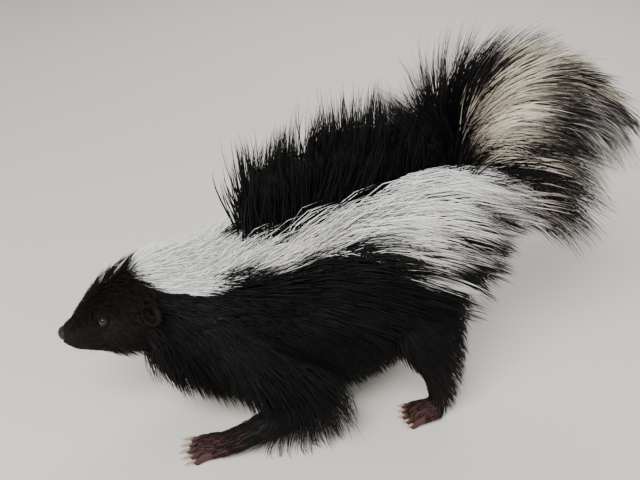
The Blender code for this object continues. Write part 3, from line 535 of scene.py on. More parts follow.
def link(mesh, name):
    item = bpy.data.objects.new(name, mesh)
    bpy.context.scene.collection.objects.link(item)
    return item


def finish_piece(item, slot, *nodes):
    """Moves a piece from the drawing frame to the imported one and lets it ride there."""
    item.data.transform(Matrix.Translation(PLACE))
    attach(item, BODY)
    if nodes:
        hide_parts(*nodes)
    return item


def mesh_from(name, points, faces):
    """A smooth mesh of points and faces."""
    mesh = bpy.data.meshes.new(name)
    mesh.from_pydata([tuple(point) for point in points], [], faces)
    mesh.update()
    return smoothed(mesh)


def mesh_of(shape, name, outward=True):
    """A smooth mesh of a shape that is done with, with its faces turned outward."""
    if outward:
        bmesh.ops.recalc_face_normals(shape, faces=shape.faces)
    mesh = bpy.data.meshes.new(name)
    shape.to_mesh(mesh)
    shape.free()
    mesh.update()
    return smoothed(mesh)


def face_outward(mesh):
    """Turns the faces of a closed mesh outward."""
    shape = bmesh.new()
    shape.from_mesh(mesh)
    bmesh.ops.recalc_face_normals(shape, faces=shape.faces)
    shape.to_mesh(mesh)
    shape.free()


def smoothed(mesh):
    mesh.polygons.foreach_set("use_smooth", [True] * len(mesh.polygons))
    return mesh


def move_vertices(mesh, places):
    mesh.vertices.foreach_set("co", places.reshape(-1).astype(np.float32))
    mesh.update()


def paint(mesh, colours, name="shade"):
    """Stores a colour for each vertex."""
    layer = mesh.color_attributes.new(name, "FLOAT_COLOR", "POINT")
    four = np.ones((len(mesh.vertices), 4), np.float32)
    four[:, :3] = colours
    layer.data.foreach_set("color", four.ravel())


def ring_faces(count, sides, close_start=True, close_end=True):
    """Quads between count rings of points, with a face over each end."""
    faces = []
    for i in range(count - 1):
        for k in range(sides):
            j = (k + 1) % sides
            a, b = i * sides, (i + 1) * sides
            faces.append((a + k, a + j, b + j, b + k))
    if close_start:
        faces.append(tuple(reversed(range(sides))))
    if close_end:
        faces.append(tuple(range((count - 1) * sides, count * sides)))
    return faces


def tube_points(rows, sides):
    """Points of the rings of a tube through rows of x, y, z, half width, half height."""
    rows = np.array(rows, float)
    forward = headings(rows[:, :3])
    side, up = section_axes(forward)
    turn = np.arange(sides) * 2 * math.pi / sides
    across = side[:, None] * (np.cos(turn)[None, :, None] * rows[:, 3][:, None, None])
    rise = up[:, None] * (np.sin(turn)[None, :, None] * rows[:, 4][:, None, None])
    return (rows[:, None, :3] + across + rise).reshape(-1, 3)


def add_tube(shape, rows, sides):
    points = tube_points(rows, sides)
    verts = [shape.verts.new(point) for point in points]
    for face in ring_faces(len(rows), sides):
        shape.faces.new([verts[i] for i in face])


def add_ball(shape, centre, radii, segments=20, rings=12):
    place = Matrix.Translation(centre) @ Matrix.Diagonal((*radii, 1))
    bmesh.ops.create_uvsphere(
        shape, u_segments=segments, v_segments=rings, radius=1, matrix=place
    )


MASS_SIDES = 28
CORE_SIDES = 14
TOE_SIDES = 20


def toe_frames(leg_name):
    """Root, direction and tip of each toe of a leg's paw."""
    x, y = LEGS[leg_name][-1][:2]
    toe_length = PAWS[leg_name][0]
    middle = (TOE_COUNT - 1) / 2
    for i in range(TOE_COUNT):
        across = i - middle
        forward = Vector((-math.cos(across * TOE_FAN), math.sin(across * TOE_FAN), 0))
        length = toe_length * (1 - TOE_SHORTER * abs(across)) + TOE_SUNK
        root = Vector((x + TOE_ROOT[0], y + across * TOE_SPREAD, TOE_ROOT[1]))
        tip = root + forward * length
        tip.z = TOE_RADIUS - PALM_SUNK / 2
        yield root, forward, tip


def toe_rows(root, forward, tip, girth):
    """Stations of one toe, with its knuckle and the pad at its tip."""
    stations = []
    for share, rise, wide, high in TOE_STATIONS:
        stations.append((*(root.lerp(tip, share) + Vector((0, 0, rise))), wide, high))
    for ahead, wide, high in TOE_END:
        stations.append((*(tip + forward * ahead), wide, high))
    rows = smooth_path(stations)
    rows[:, 3:] = np.maximum(rows[:, 3:] * girth, TOE_THINNEST)
    return rows


def add_paw(shape, leg_name):
    """The palm and the cores of the toes of a paw."""
    x, y = LEGS[leg_name][-1][:2]
    add_ball(shape, (x + PALM_BACK, y, PALM_RADII[2] - PALM_SUNK), PALM_RADII)
    for root, forward, tip in toe_frames(leg_name):
        add_tube(shape, toe_rows(root, forward, tip, TOE_CORE), CORE_SIDES)


def raw_skin():
    """All masses of the skin, still separate shells in one mesh."""
    shape = bmesh.new()
    for mass in MASSES:
        add_tube(shape, mass.rows, MASS_SIDES)
    for x, out, z, *radii in HEAD_PADS:
        for side in (-1, 1):
            add_ball(shape, (x, HEAD_MIDDLE_Y + side * out, z), radii)
    for leg_name in PAWS:
        add_paw(shape, leg_name)
    return mesh_of(shape, "skin")


def applied(item):
    """The object's mesh with its modifiers worked in."""
    graph = bpy.context.evaluated_depsgraph_get()
    mesh = bpy.data.meshes.new_from_object(item.evaluated_get(graph))
    item.modifiers.clear()
    item.data = mesh
    return mesh


def vertex_array(mesh, kind="co"):
    values = np.zeros(len(mesh.vertices) * 3, np.float32)
    if kind == "co":
        mesh.vertices.foreach_get("co", values)
    else:
        mesh.vertex_normals.foreach_get("vector", values)
    return values.reshape(-1, 3).astype(float)


def refine(mesh, limit_x):
    """Splits the faces in front of an x position into four."""
    shape = bmesh.new()
    shape.from_mesh(mesh)
    faces = [face for face in shape.faces if face.calc_center_median().x < limit_x]
    edges = list({edge for face in faces for edge in face.edges})
    bmesh.ops.subdivide_edges(shape, edges=edges, cuts=1, use_grid_fill=True, smooth=0.5)
    shape.to_mesh(mesh)
    shape.free()
    mesh.update()


def distance_to_line(x, z, line):
    """Distance of points in x and z from a line of points."""
    best = np.full(len(x), 1.0)
    for (ax, az), (bx, bz) in zip(line, line[1:]):
        dx, dz = bx - ax, bz - az
        share = np.clip(((x - ax) * dx + (z - az) * dz) / (dx * dx + dz * dz), 0, 1)
        best = np.minimum(best, np.hypot(x - ax - share * dx, z - az - share * dz))
    return best


def mouth_height(x):
    """Height of the line of the mouth at an x position."""
    return np.interp(x, [p[0] for p in MOUTH_LINE], [p[1] for p in MOUTH_LINE])


def mirrored(point, side):
    """A point of the left side of the head, or its mirror image on the right."""
    out = HEAD_MIDDLE_Y - point.y
    return Vector((point.x, HEAD_MIDDLE_Y + side * out, point.z))


def hollow(places, centre, radius):
    """A soft spot of influence around a centre."""
    return np.exp(-(((places - centre) / radius) ** 2).sum(axis=1))


# Forms around an eye: place from its middle, radii, and how far they push the skin out.
EYE_FORMS = [
    ((0.0010, 0, 0.0068), (0.0070, 0.0060, 0.0030), 0.0008),
    ((-0.0005, 0, -0.0058), (0.0060, 0.0060, 0.0024), 0.0005),
    ((0, 0, 0), (0.0062, 0.0070, 0.0052), -0.0014),
]
MOUTH_REACH_X = (-0.1655, -0.1700)
MOUTH_WIDTH = 0.00065
MOUTH_DEPTH = 0.0014
LIP_AWAY = 0.0017          # from the line of the mouth to the top of a lip
LIP_WIDTH = 0.0010
UPPER_LIP = 0.0007
LOWER_LIP = 0.0006
LIPS_TOP_Z = 0.095
LIPS_APART_Y = 0.0004      # the lips end this far from the middle of the face
SPLIT_WIDTH = 0.0016       # of the split below the nose
SPLIT_DEPTH = 0.0008
SPLIT_X = (-0.1945, -0.1975)
SPLIT_TOP_Z = 0.0885


def sculpt_face(places, normals):
    """Eye sockets, brows, line of the mouth, lips and the split below the nose."""
    made = places.copy()
    for side in (-1, 1):
        eye = np.array(mirrored(EYE_LEFT, side))
        push = 0
        for offset, radii, height in EYE_FORMS:
            push = push + height * hollow(places, eye + np.array(offset), np.array(radii))
        made += normals * push[:, None]
    reach = smoothstep(*MOUTH_REACH_X, places[:, 0])
    away = distance_to_line(places[:, 0], places[:, 2], MOUTH_LINE)
    above = places[:, 2] > mouth_height(places[:, 0])
    groove = np.exp(-((away / MOUTH_WIDTH) ** 2)) * MOUTH_DEPTH
    lip = np.exp(-(((away - LIP_AWAY) / LIP_WIDTH) ** 2)) * np.where(above, UPPER_LIP, LOWER_LIP)
    beside = np.abs(places[:, 1] - HEAD_MIDDLE_Y) > LIPS_APART_Y
    made += normals * ((lip - groove) * reach * (beside & (places[:, 2] < LIPS_TOP_Z)))[:, None]
    split = np.exp(-(((places[:, 1] - HEAD_MIDDLE_Y) / SPLIT_WIDTH) ** 2))
    split *= smoothstep(*SPLIT_X, places[:, 0])
    made[:, 0] += SPLIT_DEPTH * split * (places[:, 2] < SPLIT_TOP_Z)
    return made


HEAD_SKIN = 0.8            # the skin's share of the colour of the hair above it
WHITE_SKIN = 0.75
TAIL_SKIN = 0.5
TAIL_PALE = 0.7
TAIL_PALE_ANGLE = (1.2, 1.9)
LIP_COLOUR = (0.012, 0.008, 0.008)
LIP_BLUR = 0.0022
LIP_SHARE = 0.8


def skin_colours(spots):
    """The markings on the skin, the same as those of the coat."""
    shade = np.tile(colour_of("skin"), (len(spots.x), 1))
    shade = mix(shade, colour_of("face") * HEAD_SKIN, spots.of("head") * 1.0)
    shade = mix(shade, colour_of("white") * WHITE_SKIN, whiteness(spots))
    shade = mix(shade, colour_of("paw"), paw_share(spots))
    lip_away = distance_to_line(spots.x, spots.z, MOUTH_LINE)
    lips = np.exp(-((lip_away / LIP_BLUR) ** 2)) * spots.of("head")
    shade = mix(shade, np.array(LIP_COLOUR), lips * LIP_SHARE)
    pale = spots.of("tail") * smoothstep(*TAIL_PALE_ANGLE, np.abs(spots.angle))
    return mix(shade, colour_of("cream") * TAIL_SKIN, pale * TAIL_PALE)


skin_store = {}


def skin_spots():
    """Triangles of the finished skin with their area and what is known at their middles."""
    if "spots" not in skin_store:
        mesh = skin_store["mesh"]
        places, normals = skin_store["places"], skin_store["normals"]
        mesh.calc_loop_triangles()
        corners = np.zeros(len(mesh.loop_triangles) * 3, np.int32)
        mesh.loop_triangles.foreach_get("vertices", corners)
        corners = corners.reshape(-1, 3)
        a, b, c = (places[corners[:, i]] for i in range(3))
        skin_store["corners"] = corners
        skin_store["area"] = np.linalg.norm(np.cross(b - a, c - a), axis=1) / 2
        skin_store["spots"] = Spots((a + b + c) / 3, unit(normals[corners].mean(axis=1)))
    return skin_store["spots"]


def scatter(count, weight, random):
    """Roots spread over the skin where weight is above nought, as spots."""
    chances = np.cumsum(skin_store["area"] * weight)
    draws = (np.arange(count) + random.random(count)) / count * chances[-1]
    chosen = np.minimum(np.searchsorted(chances, draws), len(chances) - 1)
    corners = skin_store["corners"][chosen]
    one, two = random.random((2, count))
    turn = one + two > 1
    one, two = np.where(turn, 1 - one, one), np.where(turn, 1 - two, two)
    shares = np.stack([1 - one - two, one, two], axis=1)[:, :, None]
    places = (skin_store["places"][corners] * shares).sum(axis=1)
    normals = unit((skin_store["normals"][corners] * shares).sum(axis=1))
    order = random.permutation(count)
    return Spots(places[order], normals[order])


ROOT_DEPTH = 0.0012        # how far a tuft's root is sunk in the skin
WANDER = 0.10              # how unevenly tufts turn
LOCK_POWER = 1.4           # above one, a lock closes nearer to its tip
LOOSEST = 0.55             # pull of the loosest tuft of a lock, against the tightest


def grow(roots, starts, lengths, ends, rings, random, wander=WANDER, late=1.0):
    """Points of tufts that leave their roots along starts and turn to run along ends."""
    starts = unit(starts)
    drift = random.normal(0, wander, (len(roots), 3))
    place = roots
    points = [roots - starts * ROOT_DEPTH]
    for ring in range(rings):
        share = ((ring + 0.5) / rings) ** late
        direction = unit(starts * (1 - share) + (ends + drift) * share)
        place = place + direction * (lengths / rings)[:, None]
        points.append(place)
    return np.stack(points, axis=1)


def clump(points, per_lock, strength, random, power=LOCK_POWER):
    """Draws the ends of tufts together into locks; returns points and lock numbers."""
    count = len(points)
    leaders = random.permutation(count)[: max(1, count // per_lock)]
    tree = KDTree(len(leaders))
    for i, leader in enumerate(leaders):
        tree.insert(points[leader, 2], i)
    tree.balance()
    lock = np.array([tree.find(place)[1] for place in points[:, 2]])
    ahead = points[leaders[lock]]
    along = np.linspace(0, 1, points.shape[1]) ** power
    pull = random.uniform(strength * LOOSEST, strength, count)
    return points + (ahead - points) * (pull[:, None] * along)[:, :, None], lock


PATCH = 0.003              # a tuft's patch in the map for baking
ROOT_GIRTH = 0.70          # a tuft's width at its root, as a share of its full width
ROOT_SWELL = 0.30
ROOT_PART = 4              # it has its full width from a fourth of its length
TIP_POWER = 2.2


# The part of the map that each mass has: its corner and its width and height.
MAP_CELLS = {
    "torso": (0.0, 0.0, 0.5, 0.5),
    "head": (0.5, 0.0, 0.5, 0.5),
    "tail": (0.0, 0.5, 0.5, 0.5),
    "foreleg_left": (0.500, 0.5, 0.125, 0.5),
    "foreleg_right": (0.625, 0.5, 0.125, 0.5),
    "hindleg_left": (0.750, 0.5, 0.125, 0.5),
    "hindleg_right": (0.875, 0.5, 0.125, 0.5),
}


def root_map(spots):
    """A place in the unwrap of each root: around its mass and along it."""
    cells = np.array([MAP_CELLS[name] for name in MASS_NAMES])[spots.mass]
    around = spots.angle / (2 * math.pi) + 0.5
    return cells[:, 0] + around * cells[:, 2], cells[:, 1] + spots.share * cells[:, 3]


def tufts_mesh(name, points, normals, widths, shades, place, flatness=0.5):
    """Closed tufts with three sides as one mesh, with colours and the map for baking.

    points is tufts by rings by 3, and the last ring is the tip; shades fits points.
    """
    count, rings = points.shape[:2]
    body = rings - 1
    along = np.diff(points, axis=1)
    along = unit(np.concatenate([along, along[:, -1:]], axis=1))
    side = unit(np.cross(along[:, 0], normals))[:, None]
    side = unit(side - along * (side * along).sum(axis=2, keepdims=True))
    up = np.cross(side, along)
    share = np.linspace(0, 1, rings)
    taper = (ROOT_GIRTH + ROOT_SWELL * np.minimum(share * ROOT_PART, 1)) * (1 - share ** TIP_POWER)
    half = (widths[:, None] * taper)[:, :body, None] / 2
    core = points[:, :body]
    corners = np.stack(
        [
            core + side[:, :body] * half,
            core + up[:, :body] * half * 2 * flatness,
            core - side[:, :body] * half,
        ],
        axis=2,
    ).reshape(count, body * 3, 3)
    verts = np.concatenate([corners, points[:, -1:]], axis=1)
    each = body * 3 + 1
    pattern = [(0, 1, 2)]
    spread = [((0, 0), (1, 0), (2, 0))]
    for ring in range(body):
        for k in range(3):
            a, b = ring * 3 + k, ring * 3 + (k + 1) % 3
            if ring < body - 1:
                c, d = b + 3, a + 3
                pattern += [(a, d, b), (b, d, c)]
                spread += [((k, ring), (k, ring + 1), (k + 1, ring))]
                spread += [((k + 1, ring), (k, ring + 1), (k + 1, ring + 1))]
            else:
                pattern.append((a, each - 1, b))
                spread.append(((k, ring), (k + 0.5, rings - 1), (k + 1, ring)))
    faces = np.array(pattern)[None] + (np.arange(count) * each)[:, None, None]
    loops = faces.reshape(-1).astype(np.int32)
    total = len(loops) // 3
    mesh = bpy.data.meshes.new(name)
    mesh.vertices.add(count * each)
    mesh.vertices.foreach_set("co", verts.reshape(-1).astype(np.float32))
    mesh.loops.add(len(loops))
    mesh.loops.foreach_set("vertex_index", loops)
    mesh.polygons.add(total)
    mesh.polygons.foreach_set("loop_start", np.arange(total, dtype=np.int32) * 3)
    mesh.polygons.foreach_set("use_smooth", np.ones(total, bool))
    mesh.update(calc_edges=True)
    mesh.validate()
    corner_shades = np.repeat(shades[:, :body], 3, axis=1)
    paint(mesh, np.concatenate([corner_shades, shades[:, -1:]], axis=1).reshape(-1, 3))
    layer = mesh.uv_layers.new(name="OFBake")
    offsets = (np.array(spread, float) / np.array([3, rings - 1]) - 0.5) * PATCH
    offsets = offsets.reshape(1, -1, 2)
    middle = np.clip(np.stack(place, axis=1), PATCH, 1 - PATCH)[:, None]
    layer.data.foreach_set("uv", (middle + offsets).reshape(-1).astype(np.float32))
    return mesh


def new_material(name, values):
    """A material with values set on its shader, and its nodes, links and shader."""
    made = bpy.data.materials.new(name)
    made.use_nodes = True
    nodes, links = made.node_tree.nodes, made.node_tree.links
    shader = nodes["Principled BSDF"]
    set_inputs(shader, values)
    return made, nodes, links, shader


def set_inputs(node, values):
    for socket, value in values.items():
        node.inputs[socket].default_value = value


def stored_shade(nodes):
    """The colour stored for each vertex."""
    stored = nodes.new("ShaderNodeVertexColor")
    stored.layer_name = "shade"
    return stored.outputs["Color"]


FUR_ROUGHNESS = 0.55
FUR_SPECULAR = 0.13
MOTTLE = {"Scale": 900, "Detail": 2}
MOTTLE_TONES = {"To Min": 0.72, "To Max": 1.22}
GRAIN_STRENGTH = 0.6


def fur_material(name, roughness=FUR_ROUGHNESS, specular=FUR_SPECULAR):
    """Hair: the stored colour, varied finely, with a soft sheen."""
    values = {"Roughness": roughness, "Specular IOR Level": specular}
    made, nodes, links, shader = new_material(name, values)
    stored = stored_shade(nodes)
    noise = nodes.new("ShaderNodeTexNoise")
    set_inputs(noise, MOTTLE)
    spread = nodes.new("ShaderNodeMapRange")
    set_inputs(spread, MOTTLE_TONES)
    varied = nodes.new("ShaderNodeMix")
    varied.data_type = "RGBA"
    varied.blend_type = "MULTIPLY"
    varied.inputs["Factor"].default_value = 1
    links.new(noise.outputs["Fac"], spread.inputs["Value"])
    links.new(stored, varied.inputs["A"])
    links.new(spread.outputs["Result"], varied.inputs["B"])
    links.new(varied.outputs["Result"], shader.inputs["Base Color"])
    return made


def skin_material(name, grain, depth, roughness, specular):
    """Bare skin: the stored colour, mottled, with a fine raised grain."""
    made = fur_material(name, roughness, specular)
    nodes, links = made.node_tree.nodes, made.node_tree.links
    shader = nodes["Principled BSDF"]
    cells = nodes.new("ShaderNodeTexVoronoi")
    cells.inputs["Scale"].default_value = grain
    bump = nodes.new("ShaderNodeBump")
    set_inputs(bump, {"Strength": GRAIN_STRENGTH, "Distance": depth})
    links.new(cells.outputs["Distance"], bump.inputs["Height"])
    links.new(bump.outputs["Normal"], shader.inputs["Normal"])
    return made


def fur_piece(name, points, spots, widths, shades, slot="coat_black", flatness=0.5, facing=None):
    """Makes tufts into a piece of the coat."""
    normals = spots.normals if facing is None else facing
    mesh = tufts_mesh(name, points, normals, widths, shades, root_map(spots), flatness)
    if "fur" not in skin_store:
        skin_store["fur"] = fur_material("fur")
    mesh.materials.append(skin_store["fur"])
    return finish_piece(link(mesh, name), slot)


def amount(full):
    """The number of tufts at the chosen density."""
    share = settings().sizes.density * 1.0
    return int(full * share)


LOCK_DRAW = 0.65           # how far a lock's tufts are of one colour
TUFT_DRAW = 0.35
PALE_TONES = (0.86, 1.05)
DARK_TONES = (0.75, 1.30)
WHITEST = 0.95
ROOT_SHADE = 0.15          # how much darker white hair is at its root


def coat_shades(spots, points, random, white=None, lock=None):
    """Colours along tufts that grow from black, white or brownish parts of the coat."""
    count, rings = points.shape[:2]
    white = whiteness(spots) if white is None else white
    draw = random.random(count)
    if lock is not None:
        draw = TUFT_DRAW * draw + LOCK_DRAW * random.random(lock.max() + 1)[lock]
    is_white = draw < white
    black = mix(np.tile(colour_of("black"), (count, 1)), colour_of("face"), spots.of("head") * 1.0)
    pale = colour_of("white") * random.uniform(*PALE_TONES, count)[:, None]
    base = np.where(is_white[:, None], np.minimum(pale, WHITEST), black)
    along = np.linspace(0, 1, rings)
    fade = 1 - ROOT_SHADE * (1 - along)[None, :, None] * is_white[:, None, None]
    vary = random.uniform(*DARK_TONES, count)[:, None, None]
    return np.clip(base[:, None] * fade * np.where(is_white[:, None, None], 1, vary), 0, WHITEST)


def flat_part(vectors, normals):
    """The part of each vector that lies in the skin."""
    inward = (vectors * normals).sum(axis=1, keepdims=True)
    return unit(vectors - normals * inward)


def raised(flat, normals, lift):
    """Directions that leave the skin at an angle of lift."""
    lift = np.asarray(lift)
    if lift.ndim:
        lift = lift[:, None]
    return flat * np.cos(lift) + normals * np.sin(lift)


def upward(normals, share):
    """Normals turned towards the vertical by a share for each."""
    return unit(normals + np.array([0, 0, 1.0]) * share[:, None])


def mix_values(first, second, share):
    return first * (1 - share) + second * share


FLOOR_GAP = 0.0004


def clear_of_floor(points):
    points[:, :, 2] = np.maximum(points[:, :, 2], FLOOR_GAP)
    return points


BARE_EYE = 0.0056          # no hair grows this near to the middle of an eye, in its shape
BARE_EYE_SHAPE = (1, 0.6, 1.25)
BARE_NOSE = 1.04
BARE_LIP = 0.0010
MOUTH_END_X = -0.167


def face_mask(spots):
    """Where the face can carry hair: off the eyes, the nose and the lips."""
    keep = np.ones(len(spots.x))
    for side in (-1, 1):
        away = (spots.places - np.array(mirrored(EYE_LEFT, side))) * np.array(BARE_EYE_SHAPE)
        keep *= np.linalg.norm(away, axis=1) > BARE_EYE
    from_nose = (spots.places - np.array(NOSE_TIP)) / np.array(NOSE_RADII)
    keep *= np.linalg.norm(from_nose, axis=1) > BARE_NOSE
    near_mouth = distance_to_line(spots.x, spots.z, MOUTH_LINE) < BARE_LIP
    keep *= ~(near_mouth & (spots.x < MOUTH_END_X))
    return keep


FINER_SKIN_X = (-0.140, -0.158)
# Grain, its depth, roughness and specular level of each bare skin.
FLESH_SKIN = (1400, 0.00025, 0.60, 0.18)
LID_SKIN = (2600, 0.00012, 0.50, 0.20)
NOSE_SKIN = (3200, 0.00022, 0.38, 0.30)
EAR_SKIN = (2400, 0.00015, 0.55, 0.40)
TOE_SKIN = (1800, 0.00020, 0.55, 0.20)
CLAW_HORN = (700, 0.00010, 0.30, 0.50)


class SKUNK_OT_skin(bpy.types.Operator):
    """Build the skin, which takes the place of the nodes of flesh"""

    bl_idname = "skunk.skin"
    bl_label = "Skin"

    def execute(self, context):
        sizes = settings().sizes
        item = link(raw_skin(), "skin")
        remesh = item.modifiers.new("fuse", "REMESH")
        remesh.mode = "VOXEL"
        remesh.voxel_size = sizes.voxel
        soften = item.modifiers.new("soften", "SMOOTH")
        soften.iterations = sizes.smoothing
        mesh = applied(item)
        for limit_x in FINER_SKIN_X:
            refine(mesh, limit_x)
        places = sculpt_face(vertex_array(mesh), vertex_array(mesh, "normal"))
        places[:, 2] = np.maximum(places[:, 2], 0)
        move_vertices(mesh, places)
        smoothed(mesh)
        normals = vertex_array(mesh, "normal")
        paint(mesh, skin_colours(Spots(places, normals)))
        mesh.materials.append(skin_material("skin", *FLESH_SKIN))
        skin_store.update(mesh=mesh, places=places, normals=normals)
        skin_spots()
        finish_piece(item, "coat_black", *FLESH_NODES)
        return {"FINISHED"}


EYE_LOOK = (-0.42, 0.86, 0.30)
EYE_SLIT = (-1, 0, -0.18)      # the line between the corners of an eye, forward
EYE_GLOSS = {
    "Roughness": 0.09, "Specular IOR Level": 0.30, "Coat Weight": 0.35, "Coat Roughness": 0.03
}
EYE_SEGMENTS = (40, 28)
PUPIL = 0.34                   # half angles of the pupil and of the iris's edge
IRIS_EDGE = (0.72, 0.80)
PUPIL_COLOUR = (0.001, 0.001, 0.001)
EYE_EDGE_COLOUR = (0.004, 0.002, 0.002)
# A lid from its edge outward: step away from the opening, and height over the eye.
LID_PROFILE = [
    (0.0, 0.00002), (0.02, 0.00050), (0.10, 0.00085), (0.24, 0.00095),
    (0.42, 0.00085), (0.62, 0.00030), (0.66, -0.0016),
]
LID_SIDES = 44
OPENING_WIDE = 1.02            # half angle of the opening along the slit, with its pointed corner
OPENING_CORNER = (0.16, 6)
OPENING_HIGH = 0.70
LID_REACH = (1.5, 0.2)         # how far the lids spread below the eye, less above it
LID_INSIDE = 0.0006
LID_BACK = 0.75
LID_SHADE = 0.6


def eye_axes(side):
    """The direction in which an eye looks, and its forward and upward axes."""
    look = Vector((EYE_LOOK[0], side * EYE_LOOK[1], EYE_LOOK[2])).normalized()
    slit = Vector(EYE_SLIT)
    ahead = (slit - look * slit.dot(look)).normalized()
    return look, ahead, look.cross(ahead) * (-side)


def eye_material():
    """A wet dark eye with a brown iris round its pupil."""
    made, nodes, links, shader = new_material("eye", EYE_GLOSS)
    links.new(stored_shade(nodes), shader.inputs["Base Color"])
    return made


class SKUNK_OT_eyes(bpy.types.Operator):
    """Build the two eyes and their lids"""

    bl_idname = "skunk.eyes"
    bl_label = "Eyes and lids"

    def execute(self, context):
        wet = eye_material()
        dark = skin_material("lids", *LID_SKIN)
        for side, word in ((-1, "left"), (1, "right")):
            self.eye(side, word, wet)
            self.lids(side, word, dark)
        return {"FINISHED"}

    def eye(self, side, word, wet):
        radius = settings().sizes.eye_radius
        centre = mirrored(EYE_LEFT, side)
        look = eye_axes(side)[0]
        shape = bmesh.new()
        add_ball(shape, centre, (radius,) * 3, *EYE_SEGMENTS)
        mesh = mesh_of(shape, "eye_" + word, outward=False)
        turned = unit(vertex_array(mesh) - np.array(centre)) @ np.array(look)
        away = np.arccos(np.clip(turned, -1, 1))
        iris = np.tile(colour_of("eye"), (len(away), 1))
        iris = mix(iris, np.array(PUPIL_COLOUR), away < PUPIL)
        paint(mesh, mix(iris, np.array(EYE_EDGE_COLOUR), smoothstep(*IRIS_EDGE, away)))
        mesh.materials.append(wet)
        finish_piece(link(mesh, "glass_eye_" + word), "eye_dark", "eye_" + word)

    def lids(self, side, word, dark):
        """A thin shell over the eye with an almond opening."""
        radius = settings().sizes.eye_radius
        centre = mirrored(EYE_LEFT, side)
        look, ahead, up = eye_axes(side)
        sides = LID_SIDES
        points = []
        for step, height in LID_PROFILE:
            for k in range(sides):
                turn = 2 * math.pi * k / sides
                along, rise = math.cos(turn), math.sin(turn)
                wide = OPENING_WIDE + OPENING_CORNER[0] * max(along, 0) ** OPENING_CORNER[1]
                opening = 1 / math.sqrt((along / wide) ** 2 + (rise / OPENING_HIGH) ** 2)
                polar = opening + step * (LID_REACH[0] - LID_REACH[1] * rise)
                ray = look * math.cos(polar) + (ahead * along + up * rise) * math.sin(polar)
                points.append(centre + ray * (radius + height))
        faces = ring_faces(len(LID_PROFILE), sides, False, False)
        inside = radius - LID_INSIDE
        inner = [centre + (point - centre).normalized() * inside for point in points[:sides]]
        outer = [centre + (point - centre) * LID_BACK for point in points[-sides:]]
        base = len(points)
        points += outer + inner
        last = base - sides
        for k in range(sides):
            j = (k + 1) % sides
            faces.append((last + k, last + j, base + j, base + k))
            faces.append((base + k, base + j, base + sides + j, base + sides + k))
            faces.append((base + sides + k, base + sides + j, j, k))
        mesh = mesh_from("lids_" + word, points, faces)
        face_outward(mesh)
        paint(mesh, np.tile(colour_of("face") * LID_SHADE, (len(mesh.vertices), 1)))
        mesh.materials.append(dark)
        finish_piece(link(mesh, "lids_" + word), "bare_skin")


NOSE_SEGMENTS = (64, 44)
PIT_RADII = (0.0022, 0.0013, 0.0012)
PIT_DEPTH = 0.0019
SLIT_OUT = (0.0018, 0.0020, -0.0003)
SLIT_RADII = (0.0024, 0.0014, 0.0006)
SLIT_DEPTH = 0.0009
# Painted shade: the slits are darkened by this share of the painted shade of the pits.
SLIT_SHADE = 0.8
NOSE_GROOVE = (0.0005, 0.0007)     # half width and depth
NOSE_GROOVE_TOP = 0.002
# Painted shade in the nostrils: the pits and slits are coloured darker towards this colour, for the
# shade that falls in them.
NOSTRIL_PAINTED_SHADE = (0.003, 0.002, 0.002)
NOSTRIL_SHADE_EDGE = (0.3, 0.8)


class SKUNK_OT_nose(bpy.types.Operator):
    """Build the bare nose with its nostrils"""

    bl_idname = "skunk.nose"
    bl_label = "Nose"

    def execute(self, context):
        shape = bmesh.new()
        add_ball(shape, NOSE_TIP, NOSE_RADII, *NOSE_SEGMENTS)
        mesh = mesh_of(shape, "nose_leather", outward=False)
        places, normals = vertex_array(mesh), vertex_array(mesh, "normal")
        tip = np.array(NOSE_TIP)
        made = places.copy()
        dark = np.zeros(len(places))
        for side in (-1, 1):
            centre = tip + np.array([NOSTRIL.x, side * NOSTRIL.y, NOSTRIL.z])
            pit = hollow(places, centre, np.array(PIT_RADII))
            slit_middle = centre + np.array([SLIT_OUT[0], side * SLIT_OUT[1], SLIT_OUT[2]])
            slit = hollow(places, slit_middle, np.array(SLIT_RADII))
            made -= normals * (PIT_DEPTH * pit + SLIT_DEPTH * slit)[:, None]
            # dark is where painted shade goes, in the pits and the slits
            dark = np.maximum(dark, np.maximum(pit, SLIT_SHADE * slit))
        half, depth = NOSE_GROOVE
        groove = np.exp(-(((places[:, 1] - tip[1]) / half) ** 2)) * (places[:, 0] < tip[0])
        groove *= places[:, 2] < tip[2] + NOSE_GROOVE_TOP
        made[:, 0] += depth * groove
        move_vertices(mesh, made)
        # The nose colour, darkened to painted shade in the nostril pits and slits.
        shade = np.tile(colour_of("nose"), (len(places), 1))
        paint(mesh, mix(shade, np.array(NOSTRIL_PAINTED_SHADE), smoothstep(*NOSTRIL_SHADE_EDGE, dark)))
        mesh.materials.append(skin_material("nose", *NOSE_SKIN))
        finish_piece(link(mesh, "nose_leather"), "bare_skin", "nose")
        return {"FINISHED"}


EAR_RADII = (0.0088, 0.0082, 0.0052)
EAR_SHELL = 0.0030         # how far the back of the rim stands out over its middle
EAR_PIT = 0.0022           # how far the canal lies in front of the middle
EAR_PIT_UP = 0.8
EAR_OUT = (-0.42, 0.80, 0.42)
# The wall of an ear, from the outside of its foot over the rim to the canal: share of the
# radius, and height over the middle.
EAR_PROFILE = [
    (0.30, -0.0062), (0.66, -0.0048), (0.88, -0.0024), (0.97, 0.0002), (1.00, 0.0016),
    (0.98, 0.0023), (0.93, 0.0021), (0.87, 0.0010), (0.80, -0.0006), (0.70, -0.0020),
    (0.55, -0.0030), (0.38, -0.0036), (0.22, -0.0044), (0.08, -0.0058),
]
EAR_SIDES = 48
EAR_RIM_ROW = 6            # the row of the profile at which the inside begins
EAR_WAVE = 0.04            # how uneven the outline is
EAR_RIDGE = (0.20, 0.6)    # height and turn of the folds inside
EAR_LEAN = 0.8             # the turn at which the rim stands out furthest
EAR_INSIDE_ROWS = (4.5, 7.0)
